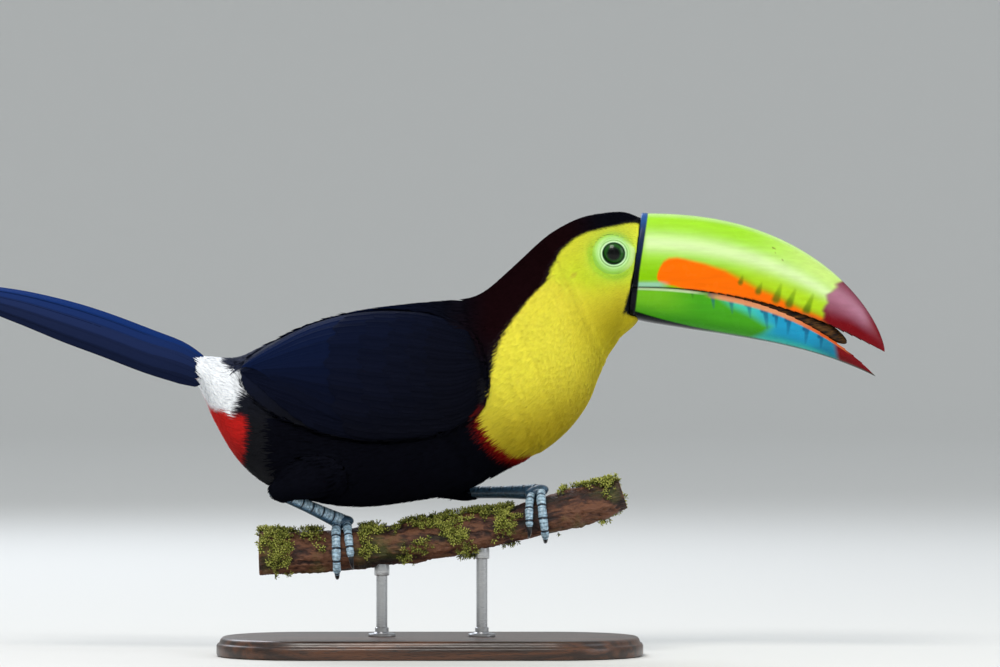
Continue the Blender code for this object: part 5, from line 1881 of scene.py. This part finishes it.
def make_stand(stand):
    low, high = (np.array(corner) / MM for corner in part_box("stand_base"))
    length, width, tall = high - low
    middle = (low + high) / 2
    corner = 50.0
    turns = 160
    rings = []
    profile = (
        (1.0, 0.0), (0.3, 0.35), (0.0, 1.2), (0.0, 5.6), (0.35, 6.3), (1.1, 6.7), (1.6, 7.2),
        (1.8, 8.0), (2.1, 8.8), (2.7, 9.45), (3.6, 9.85),
        (4.8, 10.0), (20, 10.0), (40, 10.0), (54, 10.0),
    )
    for inset, z in profile:
        ring = []
        half_x, half_y = length / 2 - inset, width / 2 - inset
        r = max(0.5, corner - inset)
        for k in range(turns):
            a = math.tau * (k + 0.5) / turns
            cx = math.copysign(half_x - r, math.cos(a))
            cy = math.copysign(half_y - r, math.sin(a))
            x, y = middle[0] + cx + r * math.cos(a), middle[1] + cy + r * math.sin(a)
            ring.append((x, y, low[2] + z * tall / 10))
        rings.append(ring)
    mesh = grid_mesh("plinth", np.array(rings), wrap=True, caps=True)
    mesh.set_sharp_from_angle(angle=math.radians(40))
    plinth = add_object("plinth", mesh, wood_material(stand))
    finish(plinth, "stand_wood", "stand_base")
    steel = steel_material(stand)
    for name in ("stand_rod_rear", "stand_rod_front"):
        low, high = (np.array(corner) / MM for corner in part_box(name))
        x, r = (low[0] + high[0]) / 2, (high[0] - low[0]) / 2
        under = perch_centre(x).z - perch_radius(x) + 0.6
        outline = [
            (r + 4.2, 0.0), (r + 4.4, 0.25), (r + 4.4, 1.3), (r + 4.0, 1.7), (r + 1.2, 2.1),
            (r + 0.7, 2.5), (r + 0.7, 4.6), (r + 0.3, 5.0), (r, 5.05), (r, under - low[2] - 5.5),
            (r + 0.9, under - low[2] - 5.3), (r + 1.1, under - low[2] - 4.9),
            (r + 1.1, under - low[2] - 1.2), (r + 0.9, under - low[2] + 0.8),
        ]
        rings = []
        for wide, up in outline:
            turn = np.linspace(0, math.tau, 48, endpoint=False)
            z = np.full(48, low[2] - 0.28 + up)
            rings.append(np.stack([x + wide * np.cos(turn), wide * np.sin(turn), z], -1))
        label = name.replace("stand_rod", "rod")
        mesh = grid_mesh(label, np.array(rings), wrap=True, caps=True)
        mesh.set_sharp_from_angle(angle=math.radians(35))
        finish(add_object(label, mesh, steel), "stand_metal", name)


# ======== stage
CAMERA_AT = (0.0378, -3.2, 0.1736)  # metres, level with the bird and looking along +Y
FLOOR_DROP = 0.2  # the floor lies this far under the base, in millimetres


def make_stage(stage):
    """A pale floor that sweeps up all round, soft studio lights and the camera."""
    turns, rows = 96, []
    profile = [(0.0, 0.0), (0.6, 0.0), (2.0, 0.0), (7.0, 0.0)]
    profile += [(7.0 + 3 * math.sin(a), 3 - 3 * math.cos(a)) for a in np.radians(range(6, 91, 6))]
    profile += [(10.0, 5.0)]
    round_about = [math.tau * k / turns for k in range(turns)]
    for far, high in profile[1:]:
        ring = [(far * math.cos(a) / MM, far * math.sin(a) / MM, high / MM) for a in round_about]
        rows.append(ring)
    mesh = grid_mesh("floor", np.array(rows), wrap=True)
    with editing(mesh) as bm:
        rim = [e for e in bm.edges if e.is_boundary and e.verts[0].co.length < 1.0]
        bmesh.ops.holes_fill(bm, edges=rim, sides=0)
        for f in bm.faces:
            f.smooth = True
            if f.calc_center_median().z < 2 and f.normal.z < 0:
                f.normal_flip()
    made, add, shader = new_material("matt painted floor")
    where = add("TexCoord").outputs["Object"]
    speck = add("TexNoise", where, 60.0, 6.0)
    bump = add("Bump", {"Height": speck, "Strength": 0.04, "Distance": 0.0005})
    feed(shader, {"Normal": bump, "Base Color": (*colour(stage.floor), 1), "Roughness": 0.85})
    floor = add_object("floor", mesh, made)
    floor.location.z = -FLOOR_DROP * MM

    world = bpy.data.worlds.new("studio")
    world.use_nodes = True
    light = world.node_tree.nodes["Background"]
    light.inputs["Color"].default_value = (*colour("#E6EBF0"), 1)
    light.inputs["Strength"].default_value = stage.fill
    bpy.context.scene.world = world

    for name, spot, aim, size, power, tint in (
        ("key", (-0.35, -1.5, 1.9), (0, 0, 0.15), 0.85, stage.key, "#FFFBF4"),
        ("side", (1.9, -0.9, 0.9), (0.05, 0, 0.15), 1.0, stage.key * 0.28, "#F4F8FF"),
        ("rim", (-0.7, 1.6, 1.5), (0, 0, 0.15), 1.1, stage.key * 0.55, "#EEF4FF"),
    ):
        lamp = bpy.data.lights.new(name, "AREA")
        lamp.shape, lamp.size = "SQUARE", size
        lamp.energy, lamp.color = power, colour(tint)
        obj = bpy.data.objects.new(name, lamp)
        obj.location = spot
        obj.rotation_euler = (Vector(aim) - Vector(spot)).to_track_quat("-Z", "Y").to_euler()
        bpy.context.scene.collection.objects.link(obj)

    lens = bpy.data.cameras.new("camera")
    lens.sensor_width, lens.lens = 36.0, stage.lens
    lens.clip_start, lens.clip_end = 0.1, 60.0
    camera = bpy.data.objects.new("camera", lens)
    camera.location = CAMERA_AT
    camera.rotation_euler = (math.radians(90), 0, 0)
    bpy.context.scene.collection.objects.link(camera)
    bpy.context.scene.camera = camera
    bpy.context.scene.view_settings.view_transform = "Standard"


# ======== the add-on
def tint_property(label, text, code):
    return FloatVectorProperty(
        name=label, description=text, subtype="COLOR", size=3, min=0, max=1, default=colour(code)
    )


class ToucanPlumage(bpy.types.PropertyGroup):
    """Colours and fineness of the plumage."""

    yellow: tint_property("Bib yellow", "Colour of the bib and face", "#FBEA46")
    black: tint_property("Body black", "Colour of the body and wings", "#0B0C13")
    # The back's navy is the colour of a painted sheen over the black feathers.
    navy_sheen: tint_property("Painted back sheen", "Blue sheen painted on the back, wings and tail", "#10214A")
    crimson: tint_property("Breast band", "Colour of the band under the bib", "#7A0807")
    red: tint_property("Under tail", "Colour of the under tail coverts", "#C81A16")
    white: tint_property("Rump white", "Colour of the rump", "#F6FAFF")
    spacing: FloatProperty(
        name="Root spacing", description="Distance between feather roots, as a share of normal",
        default=1.0, min=0.7, max=3.0, subtype="FACTOR",
    )


class ToucanBill(bpy.types.PropertyGroup):
    """Colours of the bill."""

    lime: tint_property("Lime", "Main colour of the upper bill", "#A2E02E")
    orange: tint_property("Orange", "Colour of the flame on the upper bill", "#FF7000")
    green: tint_property("Green", "Main colour of the lower bill", "#47A81A")
    blue: tint_property("Blue", "Colour of the lower bill's far half", "#1E9CC8")
    maroon: tint_property("Tip maroon", "Upper part of the bill's tip", "#7C3040")
    crimson: tint_property("Tip crimson", "Lower part of the bill's tip", "#760A14")


class ToucanPerch(bpy.types.PropertyGroup):
    """Moss on the perch."""

    moss: tint_property("Moss film", "Colour of the algae and moss on the bark", "#4E5A1C")
    moss_amount: FloatProperty(
        name="Moss amount", description="How much of the bark is under moss",
        default=0.35, min=0.0, max=1.0, subtype="FACTOR",
    )


class ToucanStand(bpy.types.PropertyGroup):
    """Finish of the display stand."""

    wood: tint_property("Wood", "Lightest colour of the stained wood", "#5A3620")
    steel: tint_property("Steel", "Colour of the rods", "#B8B9BB")


class ToucanStage(bpy.types.PropertyGroup):
    """Floor, lights and lens."""

    floor: tint_property("Floor", "Colour of the floor", "#E2E2DF")
    key: FloatProperty(
        name="Key light", description="Power of the main light", default=33.0, min=0, unit="POWER"
    )
    fill: FloatProperty(
        name="Fill light", description="Strength of the light all round", default=0.75, min=0
    )
    lens: FloatProperty(
        name="Lens", description="Focal length in millimetres", default=213.3, min=20, max=600
    )


class TOUCAN_OT_skin(bpy.types.Operator):
    """Makes the skin with its markings, in place of the flesh"""

    bl_idname = "toucan.skin"
    bl_label = "Skin"

    def execute(self, context):
        mesh = make_skin(context.scene.toucan_plumage)
        skin = add_object("skin", mesh, skin_material())
        nodes = ["head", "neck", "trunk", "rump", "wing_left", "wing_right"]
        finish(skin, "black_plumage", *nodes, "thigh_left", "thigh_right")
        return {"FINISHED"}


class TOUCAN_OT_plumage(bpy.types.Operator):
    """Grows the small feathers of every patch over the skin"""

    bl_idname = "toucan.plumage"
    bl_label = "Small feathers"

    def execute(self, context):
        plumage = context.scene.toucan_plumage
        skin = bpy.data.objects["skin"]
        tree = plumage_tree()
        blades = make_blades()
        silky = feather_material("silky yellow plumage", 26.0, 0.6, 0.07, 0.45, contrast=0.5)
        looks = dict.fromkeys(("face", "throat", "breast"), silky)
        looks["rump"] = feather_material("fluffy rump plumage", 26.0, 0.7, 0.15)
        velvet = feather_material("velvety black plumage", 40.0, 0.5, 0.0)
        slots = dict.fromkeys(("face", "throat", "breast"), "yellow_plumage")
        slots["rump"] = "rump_plumage"
        wider = plumage.spacing * 1.0
        for name, patch in PATCHES.items():
            values = {
                "Blade": blades[patch.blade], "Patch": patch.number, "Seed": patch.number,
                "Spacing": patch.spacing * MM * wider, "Length": patch.length * MM,
                "Half Breadth": patch.half * MM * wider**0.7, "Thickness": patch.thick * MM,
                "Swing": math.radians(patch.swing), "Softness": patch.softness,
                "Finish": looks.get(name, velvet),
            }
            coat = grown(f"coat_{name}", skin.data.copy(), tree, **values)
            finish(add_object(f"coat_{name}", coat), slots.get(name, "black_plumage"))
        for blank in blades.values():
            bpy.data.objects.remove(blank)
        return {"FINISHED"}


class TOUCAN_OT_quills(bpy.types.Operator):
    """Lays the wings' and the tail's long feathers"""

    bl_idname = "toucan.quills"
    bl_label = "Wing and tail feathers"

    def execute(self, context):
        plumage = context.scene.toucan_plumage
        tree, blades = laid_tree(), make_blades()
        look = feather_material("glossy flight feathers", 300.0, 0.42, 0.005, edge=0.4)
        for name, side in (("left", 1), ("right", -1)):
            form = wing_form(f"wing_form_{name}", side)
            label, quills = f"wing_feathers_{name}", wing_quills(plumage)
            wing = lay_feathers(label, tree, blades["quill"], form, quills, 0.22, look)
            finish(wing, "black_plumage")
            bpy.data.objects.remove(form)
        form, quills = tail_form(), tail_quills(plumage)
        tail = lay_feathers("tail_feathers", tree, blades["quill"], form, quills, 0.25, look)
        finish(tail, "tail_feathers", "tail")
        bpy.data.objects.remove(form)
        for blank in blades.values():
            bpy.data.objects.remove(blank)
        return {"FINISHED"}


class TOUCAN_OT_bill(bpy.types.Operator):
    """Makes both halves of the bill, with their markings and cutting edges"""

    bl_idname = "toucan.bill"
    bl_label = "Bill"

    def execute(self, context):
        make_bill(context.scene.toucan_bill)
        return {"FINISHED"}


class TOUCAN_OT_eyes(bpy.types.Operator):
    """Makes the eyes and the bare lids round them"""

    bl_idname = "toucan.eyes"
    bl_label = "Eyes and lids"

    def execute(self, context):
        make_eyes()
        return {"FINISHED"}


class TOUCAN_OT_feet(bpy.types.Operator):
    """Makes the scaly legs, the toes and the claws"""

    bl_idname = "toucan.feet"
    bl_label = "Feet"

    def execute(self, context):
        make_feet()
        return {"FINISHED"}


class TOUCAN_OT_perch(bpy.types.Operator):
    """Makes the cut branch with its bark and moss"""

    bl_idname = "toucan.perch"
    bl_label = "Perch"

    def execute(self, context):
        make_perch(context.scene.toucan_perch)
        return {"FINISHED"}


class TOUCAN_OT_stand(bpy.types.Operator):
    """Makes the plinth and the two rods"""

    bl_idname = "toucan.stand"
    bl_label = "Stand"

    def execute(self, context):
        make_stand(context.scene.toucan_stand)
        return {"FINISHED"}


class TOUCAN_OT_stage(bpy.types.Operator):
    """Makes the floor, the lights and the camera"""

    bl_idname = "toucan.stage"
    bl_label = "Stage"

    def execute(self, context):
        make_stage(context.scene.toucan_stage)
        return {"FINISHED"}


OPERATORS = (
    TOUCAN_OT_stage, TOUCAN_OT_stand, TOUCAN_OT_perch, TOUCAN_OT_feet, TOUCAN_OT_bill,
    TOUCAN_OT_skin, TOUCAN_OT_eyes, TOUCAN_OT_plumage, TOUCAN_OT_quills,
)
SETTINGS = {
    "toucan_plumage": ToucanPlumage,
    "toucan_bill": ToucanBill,
    "toucan_perch": ToucanPerch,
    "toucan_stand": ToucanStand,
    "toucan_stage": ToucanStage,
}


class TOUCAN_PT_parts(bpy.types.Panel):
    """Lists the toucan's settings and the steps that make it"""

    bl_idname = "TOUCAN_PT_parts"
    bl_label = "Toucan"
    bl_space_type = "VIEW_3D"
    bl_region_type = "UI"
    bl_category = "Toucan"

    def draw(self, context):
        for name, group in SETTINGS.items():
            box = self.layout.box()
            for key in group.__annotations__:
                box.prop(getattr(context.scene, name), key)
        for each in OPERATORS:
            self.layout.operator(each.bl_idname)


CLASSES = (*SETTINGS.values(), *OPERATORS, TOUCAN_PT_parts)


def register():
    for each in CLASSES:
        bpy.utils.register_class(each)
    for name, group in SETTINGS.items():
        setattr(bpy.types.Scene, name, PointerProperty(type=group))


def unregister():
    for name in SETTINGS:
        delattr(bpy.types.Scene, name)
    for each in reversed(CLASSES):
        bpy.utils.unregister_class(each)


def main():
    register()
    for each in OPERATORS:
        part, name = each.bl_idname.split(".")
        getattr(getattr(bpy.ops, part), name)()


if __name__ == "__main__":
    main()
